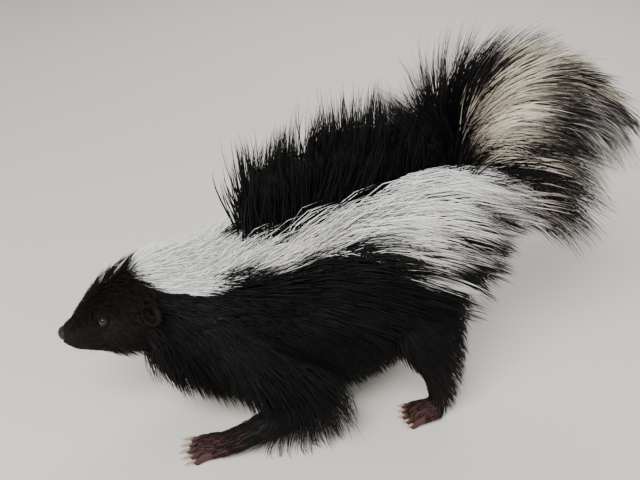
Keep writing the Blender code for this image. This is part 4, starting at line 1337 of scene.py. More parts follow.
# The canal's rows and the colour below them paint shade: the canal is coloured darker for the shade
# that falls in it.
EAR_CANAL_ROWS = (10, 12.5)
CANAL_PAINTED_SHADE = (0.006, 0.003, 0.003)
EAR_SEED = 20
EAR_HAIRS = (900, 260)     # on the back and the rim, and across the cup
EAR_HAIR_LENGTH = (0.0045, 0.0090)
EAR_HAIR_WIDTH = 0.00046
EAR_WANDER = 0.2
EAR_TILT = (0.1, 1.03)
# How far hairs start along the radius and outward, on the back and inside, and their way on.
EAR_START = (0.30, 0.8)
EAR_BACKWARD = (0.30, 0, 0.1)
EAR_FOLD = 1.15
EAR_INNER_START = (0.5, 0.8)
EAR_INNER_OUT = 0.4
EAR_INNER_BACKWARD = (0.5, 0, 0.2)
EAR_HAIR_TONES = (0.7, 1.8)
EAR_BACK_SPREAD = (0.66, 1.02)
EAR_BACK_ROWS = ((0.66, 0.88, 1.02), (-0.0048, -0.0024, 0.0018))
EAR_INNER_TURN = (-2.3, 0.8)
EAR_INNER_HEIGHT = -0.0004


def ear_axes(side):
    """Backward, upward and outward axes of an ear."""
    outward = Vector((EAR_OUT[0], side * EAR_OUT[1], EAR_OUT[2])).normalized()
    across = outward.cross(Vector((1, 0, 0))).normalized()
    return across.cross(outward), across * -side, outward


class SKUNK_OT_ears(bpy.types.Operator):
    """Build the small round ears as cups with a rolled rim, and their hair"""

    bl_idname = "skunk.ears"
    bl_label = "Ears"

    def execute(self, context):
        leather = skin_material("ear_skin", *EAR_SKIN)
        for side, word in ((-1, "left"), (1, "right")):
            self.cup(side, word, leather)
            self.hair(side, word)
        return {"FINISHED"}

    def place(self, side):
        word = "left" if side < 0 else "right"
        return box_middle("ear_" + word) - PLACE

    def cup(self, side, word, leather):
        """A bowl turned around the ear's axis: outside, rim, inside and canal."""
        middle = self.place(side)
        one, two, out = ear_axes(side)
        ridge_height, ridge_turn = EAR_RIDGE
        points = []
        for row, (spread, height) in enumerate(EAR_PROFILE):
            inward = min(max(row - EAR_RIM_ROW, 0) / EAR_RIM_ROW, 1)
            for k in range(EAR_SIDES):
                turn = 2 * math.pi * k / EAR_SIDES
                wave = 1 + EAR_WAVE * math.sin(3 * turn + 1.0) * spread
                fold = math.cos(2 * turn - ridge_turn)
                ridge = 1 - ridge_height * inward * (1 - inward) * fold
                flat = one * (math.cos(turn) * EAR_RADII[0]) + two * (math.sin(turn) * EAR_RADII[1])
                lift = EAR_SHELL * spread ** 2 * math.cos(turn - EAR_LEAN)
                pit = (one + two * EAR_PIT_UP) * (-EAR_PIT * inward)
                points.append(middle + flat * (spread * wave * ridge) + out * (height + lift) + pit)
        mesh = mesh_from("ear_cup_" + word, points, ring_faces(len(EAR_PROFILE), EAR_SIDES))
        face_outward(mesh)
        rows = np.repeat(np.arange(len(EAR_PROFILE)), EAR_SIDES)
        inside = smoothstep(*EAR_INSIDE_ROWS, rows)
        shade = mix(np.tile(colour_of("face"), (len(rows), 1)), colour_of("ear"), inside)
        # The canal rows are painted darker, as painted shade in the hollow of the cup.
        paint(mesh, mix(shade, np.array(CANAL_PAINTED_SHADE), smoothstep(*EAR_CANAL_ROWS, rows)))
        mesh.materials.append(leather)
        finish_piece(link(mesh, "ear_cup_" + word), "bare_skin", "ear_" + word)

    def hair(self, side, word):
        """Short hair on the back and the rim of the ear, and a few hairs across the cup."""
        random = dice(EAR_SEED + side)
        outer, inner = (amount(full) for full in EAR_HAIRS)
        count = outer + inner
        middle = np.array(self.place(side))
        one, two, out = (np.array(axis) for axis in ear_axes(side))
        turn = random.uniform(0, 2 * math.pi, count)
        turn[outer:] = random.normal(*EAR_INNER_TURN, inner)
        spread = random.uniform(*EAR_BACK_SPREAD, count)
        height = np.interp(spread, *EAR_BACK_ROWS)
        height[outer:] = EAR_INNER_HEIGHT
        height = height + EAR_SHELL * spread ** 2 * np.cos(turn - EAR_LEAN)
        ray = one * np.cos(turn)[:, None] * EAR_RADII[0]
        ray = ray + two * np.sin(turn)[:, None] * EAR_RADII[1]
        roots = middle + ray * spread[:, None] + out * height[:, None]
        rays = unit(ray)
        tilt, edge = EAR_TILT
        normals = unit(rays + out * (tilt - (edge - spread))[:, None])
        along, outward = EAR_START
        starts = rays * along + out * outward + np.array(EAR_BACKWARD)
        ends = starts - rays * EAR_FOLD
        along, outward = EAR_INNER_START
        starts[outer:] = -rays[outer:] * along + out * outward
        ends[outer:] = -rays[outer:] + out * EAR_INNER_OUT + np.array(EAR_INNER_BACKWARD)
        length = random.uniform(*EAR_HAIR_LENGTH, count)
        points = grow(roots, starts, length, ends, SHORT_RINGS, random, EAR_WANDER)
        spots = Spots(roots, normals)
        shades = np.tile(colour_of("face"), (count, SHORT_RINGS + 1, 1))
        shades = shades * random.uniform(*EAR_HAIR_TONES, (count, 1, 1))
        fur_piece("ear_hair_" + word, points, spots, np.full(count, EAR_HAIR_WIDTH), shades)


class SKUNK_OT_toes(bpy.types.Operator):
    """Build the toes of the four paws over the skin"""

    bl_idname = "skunk.toes"
    bl_label = "Toes"

    def execute(self, context):
        hide = skin_material("toe_skin", *TOE_SKIN)
        for leg_name in PAWS:
            shape = bmesh.new()
            for root, forward, tip in toe_frames(leg_name):
                add_tube(shape, toe_rows(root, forward, tip, 1.0), TOE_SIDES)
            mesh = mesh_of(shape, "toes_" + leg_name)
            places = vertex_array(mesh)
            places[:, 2] = np.maximum(places[:, 2], 0)
            move_vertices(mesh, places)
            paint(mesh, np.tile(colour_of("paw"), (len(places), 1)))
            mesh.materials.append(hide)
            finish_piece(link(mesh, "toes_" + leg_name), "paw_skin")
        return {"FINISHED"}


CLAW_SIDES = 12
CLAW_STEPS = (-0.12, 1.0, 12)      # from inside the toe to the tip
CLAW_RISE = 0.0014
CLAW_BOW = (0.34, 0.52)            # rise and fall along the claw
CLAW_TAPER = (1.05, 1.6, 0.04)     # girth at the root, its fall's power, girth at the tip
CLAW_FLAT = 0.72
CLAW_CLEAR = 1.05
CLAW_ROOT_SHADE = 0.55
CLAW_PALE = (-0.05, 0.45)


class SKUNK_OT_claws(bpy.types.Operator):
    """Build the claws of the four paws"""

    bl_idname = "skunk.claws"
    bl_label = "Claws"

    def execute(self, context):
        horn = skin_material("claw_horn", *CLAW_HORN)
        for leg_name, (_, claw_length) in PAWS.items():
            self.paw_claws(leg_name, claw_length, horn)
        return {"FINISHED"}

    def paw_claws(self, leg_name, length, horn):
        radius = settings().sizes.claw_radius
        rise_by, fall_by = CLAW_BOW
        full, power, least = CLAW_TAPER
        points, faces, shades = [], [], []
        steps = np.linspace(*CLAW_STEPS)
        for _, forward, tip in toe_frames(leg_name):
            root = tip + Vector((0, 0, CLAW_RISE))
            rows = []
            for t in steps:
                rise = length * (rise_by * t - fall_by * t * t)
                girth = radius * max(least, full - max(t, 0) ** power)
                centre = root + forward * length * t + Vector((0, 0, rise))
                centre.z = max(centre.z, girth * CLAW_CLEAR)
                rows.append((*centre, girth * CLAW_FLAT, girth))
            base = len(points)
            points += list(tube_points(rows, CLAW_SIDES))
            rings = ring_faces(len(rows), CLAW_SIDES)
            faces += [tuple(base + i for i in face) for face in rings]
            pale = np.tile(colour_of("claw"), (len(rows) * CLAW_SIDES, 1))
            dark = colour_of("paw") * CLAW_ROOT_SHADE
            along = np.repeat(steps, CLAW_SIDES)
            shades.append(mix(pale, dark, 1 - smoothstep(*CLAW_PALE, along)))
        mesh = mesh_from("claws", points, faces)
        paint(mesh, np.concatenate(shades))
        mesh.materials.append(horn)
        finish_piece(link(mesh, "claws_" + leg_name), "paw_skin")


SHORT_RINGS = 3            # parts along a tuft
MIDDLE_RINGS = 4
LONG_RINGS = 6


def vectors(count, x, y, z):
    """Vectors from a number, or an array of them, for each axis."""
    return np.stack([np.broadcast_to(value, count) for value in (x, y, z)], axis=1)


# In each coat: VARY is the spread of the hairs' lengths, LOCKS the tufts in a lock and how
# strongly they are drawn together, and LIE the way of the hair at the skin.
HEAD_SEED = 1
HEAD_TUFTS = 8700
HEAD_BACK_X = (-0.114, -0.122)
MUZZLE_X = (-0.150, -0.175)
MUZZLE_MORE = 2.2
NAPE_FEWER = 0.6
CROWN_ANGLE = (1.15, 0.35)
JAW_ANGLE = (2.0, 2.7)
JAW_X = (-0.186, -0.170)
HEAD_HAIR_X = (-0.198, -0.188, -0.178, -0.166, -0.152, -0.138, -0.125, -0.115)
HEAD_LENGTH = (0.0012, 0.0019, 0.0032, 0.0052, 0.0078, 0.0110, 0.0150, 0.0175)
CROWN_LENGTH = (0.0015, 0.0042, 0.0088, 0.0135, 0.0160, 0.0165, 0.0165, 0.0170)
JAW_LENGTH = (0.0015, 0.0050, 0.0098, 0.0148, 0.0190, 0.0210, 0.0220, 0.0230)
HEAD_VARY = (0.75, 1.2)
HEAD_LIE = (6, -0.30, 0.4)
# On the cheeks, more of it on the crown, and more of it under the jaw.
HEAD_LIFT = (12, 22, 30)
HEAD_RISE = (0.06, 0.14, 0.44)
HEAD_LIFT_SPREAD = 4
HEAD_WANDER = 0.16
HEAD_LOCKS = (7, 0.45)
HEAD_WIDTH_X = (-0.198, -0.165, -0.125)
HEAD_WIDTH = (0.00030, 0.00046, 0.00085)


class SKUNK_OT_head_coat(bpy.types.Operator):
    """Grow the short hair of the face and the crown"""

    bl_idname = "skunk.head_coat"
    bl_label = "Coat of the head"

    def execute(self, context):
        random = dice(HEAD_SEED)
        middles = skin_spots()
        on_head = middles.of("head") * smoothstep(*HEAD_BACK_X, middles.x)
        finer = 1 + MUZZLE_MORE * smoothstep(*MUZZLE_X, middles.x)
        weight = on_head * face_mask(middles) * finer * (1 - NAPE_FEWER * nape_share(middles))
        spots = scatter(amount(HEAD_TUFTS), weight, random)
        count = len(spots.x)
        turned = np.abs(spots.angle)
        top = smoothstep(*CROWN_ANGLE, turned)
        under = smoothstep(*JAW_ANGLE, turned) * smoothstep(*JAW_X, spots.x)
        length = np.interp(spots.x, HEAD_HAIR_X, HEAD_LENGTH)
        length = mix_values(length, np.interp(spots.x, HEAD_HAIR_X, CROWN_LENGTH), top)
        length = mix_values(length, np.interp(spots.x, HEAD_HAIR_X, JAW_LENGTH), under)
        length *= random.uniform(*HEAD_VARY, count)
        apart, fall, steeper = HEAD_LIE
        down = fall - steeper * np.abs(np.sin(spots.angle))
        flat = flat_part(vectors(count, 1, spots.y * apart, down), spots.normals)
        lift = self.by_part(HEAD_LIFT, top, under) + random.normal(0, HEAD_LIFT_SPREAD, count)
        starts = raised(flat, spots.normals, np.radians(lift))
        ends = flat + spots.normals * self.by_part(HEAD_RISE, top, under)[:, None]
        points = grow(spots.places, starts, length, ends, SHORT_RINGS, random, HEAD_WANDER)
        points, lock = clump(points, *HEAD_LOCKS, random)
        width = np.interp(spots.x, HEAD_WIDTH_X, HEAD_WIDTH)
        shades = coat_shades(spots, points, random, None, lock)
        fur_piece("coat_head", points, spots, width, shades)
        return {"FINISHED"}

    def by_part(self, values, top, under):
        cheek, crown, jaw = values
        return cheek + crown * top + jaw * under


NAPE_SEED = 10
NAPE_TUFTS = 3400
NAPE_FRONT_X = (-0.149, -0.143)
NAPE_REAR_X = (-0.058, -0.068)
NAPE_HAIR_X = (-0.147, -0.138, -0.125, -0.100, -0.080, -0.066)
NAPE_LENGTH = (0.018, 0.023, 0.028, 0.031, 0.031, 0.030)
NAPE_VARY = (0.70, 1.15)
NAPE_LIE = (0.25, -0.05)
NAPE_LIFT_ANGLE = (0, 0.8)
NAPE_LIFT = (50, 26)
NAPE_LIFT_SPREAD = 8
NAPE_END = (0.20, 0.04, 0.24)
NAPE_WANDER = 0.16
NAPE_LOCKS = (9, 0.55)
NAPE_WIDTH = (0.8, 1.2)
NAPE_WHITE = 0.985


def nape_share(spots):
    """How far each spot lies in the raised white hair of the nape, from 0 to 1."""
    along = smoothstep(*NAPE_FRONT_X, spots.x) * smoothstep(*NAPE_REAR_X, spots.x)
    return whiteness(spots) * along


class SKUNK_OT_nape_coat(bpy.types.Operator):
    """Grow the raised white hair of the nape"""

    bl_idname = "skunk.nape_coat"
    bl_label = "White hair of the nape"

    def execute(self, context):
        random = dice(NAPE_SEED)
        spots = scatter(amount(NAPE_TUFTS), nape_share(skin_spots()), random)
        count = len(spots.x)
        length = np.interp(spots.x, NAPE_HAIR_X, NAPE_LENGTH) * random.uniform(*NAPE_VARY, count)
        side = np.sign(spots.y - HEAD_MIDDLE_Y) * np.abs(np.sin(spots.angle))
        flat = flat_part(vectors(count, 1, NAPE_LIE[0] * side, NAPE_LIE[1]), spots.normals)
        lift = np.interp(np.abs(spots.angle), NAPE_LIFT_ANGLE, NAPE_LIFT)
        lift = np.radians(lift + random.normal(0, NAPE_LIFT_SPREAD, count))
        out, rise, fall = NAPE_END
        ends = vectors(count, 1, out * side, rise - fall * np.abs(side))
        starts = raised(flat, spots.normals, lift)
        points = grow(spots.places, starts, length, ends, MIDDLE_RINGS, random, NAPE_WANDER)
        points, lock = clump(points, *NAPE_LOCKS, random)
        width = settings().sizes.hair_width * random.uniform(*NAPE_WIDTH, count)
        shades = coat_shades(spots, points, random, np.full(count, NAPE_WHITE), lock)
        fur_piece("coat_nape", points, spots, width, shades)
        return {"FINISHED"}


# Hair of the flanks, the stripe and the rump: length and lift from the skin by x.
FLANK_X = (-0.120, -0.090, -0.060, -0.020, 0.015, 0.045, 0.075, 0.100, 0.125)
FLANK_LENGTH = (0.018, 0.020, 0.021, 0.023, 0.028, 0.036, 0.046, 0.050, 0.046)
FLANK_LIFT = (20, 18, 16, 15, 16, 19, 22, 24, 24)
BELLY_X = (-0.055, -0.045, 0.02, 0.05)
BELLY_LENGTH = (0.040, 0.031, 0.030, 0.018)
STRIPE_HAIR_X = (-0.120, -0.090, -0.060, -0.035, -0.015, 0.010)
STRIPE_LENGTH = (0.022, 0.030, 0.048, 0.063, 0.078, 0.098)
STRIPE_LIFT = (26, 38, 50, 57, 62, 66)
RUMP_X = (-0.020, 0.000, 0.020, 0.050, 0.075, 0.095, 0.125)
RUMP_LENGTH = (0.078, 0.106, 0.128, 0.134, 0.124, 0.112, 0.092)
RUMP_LIFT = (62, 67, 69, 68, 65, 60, 54)
HIP_LENGTH = (0.036, 0.044, 0.056, 0.074, 0.078, 0.070, 0.056)

TRUNK_FRONT_X = -0.128     # the trunk's coat reaches this far onto the head
OVER_MIDDLE = -0.002
SIDES = ((-1, "left"), (1, "right"))

FLANK_SEED = 2
FLANK_TUFTS = 5600
FLANK_TOP = 0.62
BELLY_ANGLE = (1.6, 2.2)
CHEST_X = (-0.050, -0.080)
FLANK_VARY = (0.72, 1.2)
FALL_ANGLE = (1.0, 2.0)
FALL = (0.30, 0.75)
BELLY_LIFT = 14
FLANK_LIFT_SPREAD = 0.09
BELLY_BACK = (0.75, 0.35)
BELLY_IN = -0.25
BELLY_DOWN = 0.6
FLANK_SAG = (0, 0, -0.25)
FLANK_LOCKS = (11, 0.62)
FLANK_WIDTH = (0.9, 1.4)

STRIPE_SEED = 4
STRIPE_TUFTS = 2900
STRIPE_EDGE = 1.0
STRIPE_FRONT_X = -0.12
STRIPE_REAR_X = (-0.030, 0.010)
STRIPE_ANGLE = (0.50, 0.95)
STRIPE_SIDE_LENGTH = 1.2
STRIPE_VARY = (0.72, 1.15)
STRIPE_SIDE_LIFT = 15
FRAYED = (5, 15)
FRAYED_X = (0.02, -0.02)
STRIPE_LIE = (-0.10, 0.30)
STRIPE_END = (0.16, 0.41)
STRIPE_WANDER = 0.12
STRIPE_LATE = 1.2
STRIPE_LOCKS = (7, 0.50)
STRIPE_WIDTH = (0.8, 1.25)
STRIPE_DARKER = 0.22
STRIPE_DARKER_X = (-0.07, -0.04)


def trunk_share(spots, side):
    """Which spots lie on one side of the trunk, out of the crest."""
    trunk = spots.of("torso") | (spots.of("head") & (spots.x > TRUNK_FRONT_X))
    return trunk * (spots.y * side > OVER_MIDDLE) * (1 - crest_share(spots))


class SKUNK_OT_body_coat(bpy.types.Operator):
    """Grow the lying coat of the flanks and the belly, and the front of the stripe"""

    bl_idname = "skunk.body_coat"
    bl_label = "Coat of the body"

    def execute(self, context):
        middles = skin_spots()
        turned = np.abs(middles.angle)
        for number, (side, word) in enumerate(SIDES):
            mine = trunk_share(middles, side)
            rump = smoothstep(*STRIPE_REAR_X, middles.x)
            lower = mine * (turned > FLANK_TOP)
            self.flank("coat_flank_" + word, FLANK_SEED + number, lower, side)
            upper = mine * (turned <= STRIPE_EDGE) * (middles.x > STRIPE_FRONT_X) * (1 - rump)
            self.stripe("coat_stripe_" + word, STRIPE_SEED + number, upper)
        return {"FINISHED"}

    def flank(self, name, seed, weight, side):
        """Lying hair that covers a side and hangs at the chest and the belly."""
        random = dice(seed)
        spots = scatter(amount(FLANK_TUFTS), weight, random)
        count = len(spots.x)
        turned = np.abs(spots.angle)
        low = smoothstep(*BELLY_ANGLE, turned)
        chest = smoothstep(*CHEST_X, spots.x) * low
        length = np.interp(spots.x, FLANK_X, FLANK_LENGTH)
        length = mix_values(length, np.interp(spots.x, BELLY_X, BELLY_LENGTH), low)
        length *= random.uniform(*FLANK_VARY, count)
        fall = FALL[0] + FALL[1] * smoothstep(*FALL_ANGLE, turned)
        flat = flat_part(vectors(count, 1, 0, -fall), spots.normals)
        lift = np.radians(np.interp(spots.x, FLANK_X, FLANK_LIFT) + BELLY_LIFT * low)
        lift += random.normal(0, FLANK_LIFT_SPREAD, count)
        backward = BELLY_BACK[0] - BELLY_BACK[1] * chest
        down = vectors(count, backward, BELLY_IN * side * low, -fall - BELLY_DOWN * low)
        ends = mix(flat + np.array(FLANK_SAG), down, low)
        starts = raised(flat, spots.normals, lift)
        points = grow(spots.places, starts, length, ends, MIDDLE_RINGS, random)
        points, lock = clump(points, *FLANK_LOCKS, random)
        width = settings().sizes.hair_width * random.uniform(*FLANK_WIDTH, count)
        shades = coat_shades(spots, points, random, None, lock)
        fur_piece(name, clear_of_floor(points), spots, width, shades)

    def stripe(self, name, seed, weight):
        """The front part of the stripe, which rises towards the rump."""
        random = dice(seed)
        spots = scatter(amount(STRIPE_TUFTS), weight, random)
        count = len(spots.x)
        low = smoothstep(*STRIPE_ANGLE, np.abs(spots.angle))
        beside = np.interp(spots.x, FLANK_X, FLANK_LENGTH) * STRIPE_SIDE_LENGTH
        length = mix_values(np.interp(spots.x, STRIPE_HAIR_X, STRIPE_LENGTH), beside, low)
        length *= random.uniform(*STRIPE_VARY, count)
        lift = mix_values(np.interp(spots.x, STRIPE_HAIR_X, STRIPE_LIFT), STRIPE_SIDE_LIFT, low)
        frayed = FRAYED[0] + FRAYED[1] * (1 - low) * smoothstep(*FRAYED_X, spots.x)
        lift = np.radians(lift + frayed * random.normal(0, 1, count))
        lie = vectors(count, 1, 0, STRIPE_LIE[0] - STRIPE_LIE[1] * low)
        flat = flat_part(lie, spots.normals)
        ends = vectors(count, 1, 0, STRIPE_END[0] - STRIPE_END[1] * low)
        starts = raised(flat, upward(spots.normals, 1 - low), lift)
        points = grow(
            spots.places, starts, length, ends, MIDDLE_RINGS, random, STRIPE_WANDER, STRIPE_LATE
        )
        points, lock = clump(points, *STRIPE_LOCKS, random)
        width = settings().sizes.hair_width * random.uniform(*STRIPE_WIDTH, count)
        darker = STRIPE_DARKER * smoothstep(*STRIPE_DARKER_X, spots.x)
        white = whiteness(spots) * (1 - darker)
        fur_piece(name, points, spots, width, coat_shades(spots, points, random, white, lock))


RUMP_SEED = 11
RUMP_TUFTS = 3300
RUMP_EDGE = 1.35
RUMP_FRONT_X = (-0.035, 0.005)
RUMP_MORE = 1.2
RUMP_MORE_ANGLE = (0.95, 0.55)
RUMP_ANGLE = (0.50, 0.92)
RUMP_VARY = (0.74, 1.06)
HIP_LIFT = 24
RUMP_LIFT_SPREAD = 5
RUMP_LIE_OUT = (0.04, 0.10)
RUMP_LIE_DOWN = (-0.05, 0.30)
RUMP_END = (-0.72, 0.12)
RUMP_WANDER = 0.07
RUMP_LATE = 1.35
RUMP_LOCKS = (15, 0.72)
RUMP_WIDTH = (0.85, 1.3)


class SKUNK_OT_rump_coat(bpy.types.Operator):
    """Grow the long hair of the stripe that arches over the rump, and the hair of the hips"""

    bl_idname = "skunk.rump_coat"
    bl_label = "Coat of the rump"

    def execute(self, context):
        middles = skin_spots()
        turned = np.abs(middles.angle)
        for number, (side, word) in enumerate(SIDES):
            upper = trunk_share(middles, side) * (turned < RUMP_EDGE)
            upper = upper * smoothstep(*RUMP_FRONT_X, middles.x)
            thick = 1 + RUMP_MORE * smoothstep(*RUMP_MORE_ANGLE, turned)
            self.bundle("coat_rump_" + word, RUMP_SEED + number, upper * thick, side)
        return {"FINISHED"}

    def bundle(self, name, seed, weight, side):
        """Hair that leaves the back steeply, arches over and ends as one blunt bundle."""
        random = dice(seed)
        spots = scatter(amount(RUMP_TUFTS), weight, random)
        count = len(spots.x)
        low = smoothstep(*RUMP_ANGLE, np.abs(spots.angle))
        upper = np.interp(spots.x, RUMP_X, RUMP_LENGTH)
        length = mix_values(upper, np.interp(spots.x, RUMP_X, HIP_LENGTH), low)
        length *= random.uniform(*RUMP_VARY, count)
        lift = mix_values(np.interp(spots.x, RUMP_X, RUMP_LIFT), HIP_LIFT, low)
        lift = np.radians(lift + random.normal(0, RUMP_LIFT_SPREAD, count))
        out = side * (RUMP_LIE_OUT[0] - RUMP_LIE_OUT[1] * low)
        lie = vectors(count, 1, out, RUMP_LIE_DOWN[0] - RUMP_LIE_DOWN[1] * low)
        flat = flat_part(lie, spots.normals)
        ends = vectors(count, 1, 0, RUMP_END[0] + RUMP_END[1] * low)
        starts = raised(flat, upward(spots.normals, 1 - low), lift)
        points = grow(
            spots.places, starts, length, ends, LONG_RINGS, random, RUMP_WANDER, RUMP_LATE
        )
        points, lock = clump(points, *RUMP_LOCKS, random)
        width = settings().sizes.hair_width * random.uniform(*RUMP_WIDTH, count)
        shades = coat_shades(spots, points, random, None, lock)
        fur_piece(name, points, spots, width, shades)


CREST_SEED = 6
CREST_TUFTS = 5800
BACK_X = (-0.062, -0.055, -0.045, -0.032, -0.016, 0.000, 0.050, 0.085, 0.105)
BACK_LENGTH = (0.048, 0.070, 0.086, 0.097, 0.104, 0.109, 0.111, 0.104, 0.082)
CREST_HALF_Y = 0.017
CREST_BLUR = 0.003
CREST_ENDS_X = (-0.068, 0.094)
CREST_ENDS_Y = (-0.002, 0.012)
CREST_FRONT_X = (-0.058, -0.046)
CREST_REAR_X = (0.112, 0.104)
CREST_LOW_Z = 0.12
# The crest's hairs are of four lengths, and each length has its share of them.
CREST_REACH = (0.55, 0.72, 0.90, 1.08)
CREST_REACH_SHARE = (0.28, 0.39, 0.23, 0.10)
CREST_VARY = (0.86, 1.06)
CREST_LEAN_X = (-0.058, -0.038, 0.00, 0.09)
CREST_LEAN = (-0.09, 0.03, 0.06, -0.08)
CREST_LEAN_SPREAD = 0.13
LONGEST_LEAN = 0.12
LONGEST_X = -0.02
CREST_FAN = 0.26
CREST_END_FAN = 0.20
CREST_END_LEAN = (0.06, 0.20)
CREST_WANDER = 0.16
CREST_LOCKS = (13, 0.55)
CREST_LOCK_POWER = 1.2
CREST_SPIKES = (90, 0.55)
CREST_SPIKE_POWER = 2.0
CREST_HAIR = 0.00140
CREST_WIDTH = (0.7, 1.2)
CREST_FACING = (0.6, 1, 0.05)


def crest_share(spots):
    """How far each spot lies in the crest, from 0 to 1."""
    middle = np.interp(spots.x, CREST_ENDS_X, CREST_ENDS_Y)
    away = np.abs(spots.y - middle)
    inside = smoothstep(CREST_HALF_Y + CREST_BLUR, CREST_HALF_Y - CREST_BLUR, away)
    along = smoothstep(*CREST_FRONT_X, spots.x) * smoothstep(*CREST_REAR_X, spots.x)
    return inside * along * spots.of("torso") * (spots.z > CREST_LOW_Z)


class SKUNK_OT_crest(bpy.types.Operator):
    """Grow the raised black hair of the back"""

    bl_idname = "skunk.crest"
    bl_label = "Crest"

    def execute(self, context):
        random = dice(CREST_SEED)
        spots = scatter(amount(CREST_TUFTS), crest_share(skin_spots()), random)
        count = len(spots.x)
        reach = random.choice(CREST_REACH, count, p=CREST_REACH_SHARE)
        reach *= random.uniform(*CREST_VARY, count)
        length = np.interp(spots.x, BACK_X, BACK_LENGTH) * reach
        fan = (spots.y - np.interp(spots.x, CREST_ENDS_X, CREST_ENDS_Y)) / CREST_HALF_Y
        lean = np.interp(spots.x, CREST_LEAN_X, CREST_LEAN)
        lean = lean + random.normal(0, CREST_LEAN_SPREAD, count)
        lean = lean - LONGEST_LEAN * (reach > 1) * (spots.x < LONGEST_X)
        starts = vectors(count, lean, CREST_FAN * fan, 1)
        ends = vectors(count, lean + random.normal(*CREST_END_LEAN, count), CREST_END_FAN * fan, 1)
        points = grow(spots.places, starts, length, ends, LONG_RINGS, random, CREST_WANDER)
        points = clump(points, *CREST_LOCKS, random, CREST_LOCK_POWER)[0]
        points = clump(points, *CREST_SPIKES, random, CREST_SPIKE_POWER)[0]
        width = CREST_HAIR * random.uniform(*CREST_WIDTH, count)
        facing = unit(random.normal(0, 1, (count, 3)) * np.array(CREST_FACING))
        shades = coat_shades(spots, points, random, np.zeros(count))
        for word, chosen in (("left", fan <= 0), ("right", fan > 0)):
            fur_piece(
                "coat_crest_" + word, points[chosen], spots.pick(chosen), width[chosen],
                shades[chosen], facing=facing[chosen],
            )
        return {"FINISHED"}


# The tail's hair: length on the bone's front and back, and how far the front stands off.
PLUME_AT = (0.0, 0.17, 0.34, 0.50, 0.67, 0.83, 1.0)
PLUME_FRONT = (0.106, 0.090, 0.085, 0.078, 0.056, 0.044, 0.044)
PLUME_BACK = (0.140, 0.150, 0.154, 0.150, 0.140, 0.130, 0.120)
PLUME_OUT = (1.10, 0.86, 0.52, 0.34, 0.20, 0.14, 0.12)
PLUME_BEND = (0.00, 0.15, 0.55, 1.00, 1.00, 0.60, 0.20)
BAND_AT = (0.10, 0.20, 0.40, 0.70, 1.0)
BAND_START = (0.076, 0.073, 0.065, 0.057, 0.052)
BAND_END = (0.130, 0.124, 0.106, 0.092, 0.086)

PLUME_SEED = 7
PLUME_TUFTS = 9700
PLUME_PIECES = 4
PLUME_ROOT = (0.10, 0.20)
PLUME_START = 0.14
TAIL_HALVES = (0.030, 0.007)       # half widths at the root and the tip, for an even spread
TAIL_THINNEST = 0.006
FRONT_LOW = (0.50, 0.30)
FRONT_LOW_ANGLE = 1.2
FRONT_LOW_MORE = 0.8
PLUME_HAIR = 0.00098
PLUME_WIDTH = (0.65, 1.2)
PLUME_VARY = (0.56, 1.05)
PLUME_BACK_OUT = 0.60
PLUME_AHEAD = (0.85, 0.45)
PLUME_SWEEP = 1.15
PLUME_SWEEP_BACK = (0.08, 0.80)
PLUME_SPREAD = 0.10
PLUME_NARROWER = (0.60, 0.74)      # on the right and on the left
PLUME_END_BACK = 0.30
PLUME_FALL = (0.10, 1.85, 0.80, 0.40)
PLUME_WANDER = 0.14
PLUME_LOCKS = (22, 0.62)
PLUME_LOCK_POWER = 1.5

BAND_SHIFT = (0.008, 0.003)        # how much a lock's and a tuft's band is moved
TIP_SHIFT = 1.2
BAND_EDGE = (-0.008, 0.008)
TIP_EDGE = (-0.008, 0.010)
CREAM_TONES = (0.80, 1.10)
TIP_TONES = (0.60, 1.20)
PLUME_BLACK_TONES = (0.8, 1.4)
# The front of the plume is black, as far round as this by the share along the tail.
FRONT_AT = (0.15, 0.34, 0.50)
FRONT_ROUND = (0.42, 0.29, 0.25)
FRONT_EDGE = (0.0, 0.12)
FRONT_END = (0.56, 0.44)
DARK_ROOT = (0.40, 0.18)
DARK_ROOT_SHARE = 0.62
PLUME_DRAW = (0.82, 0.18)
STREAKS = (0.20, 0.22)
STREAKS_AT = (0.62, 0.35)


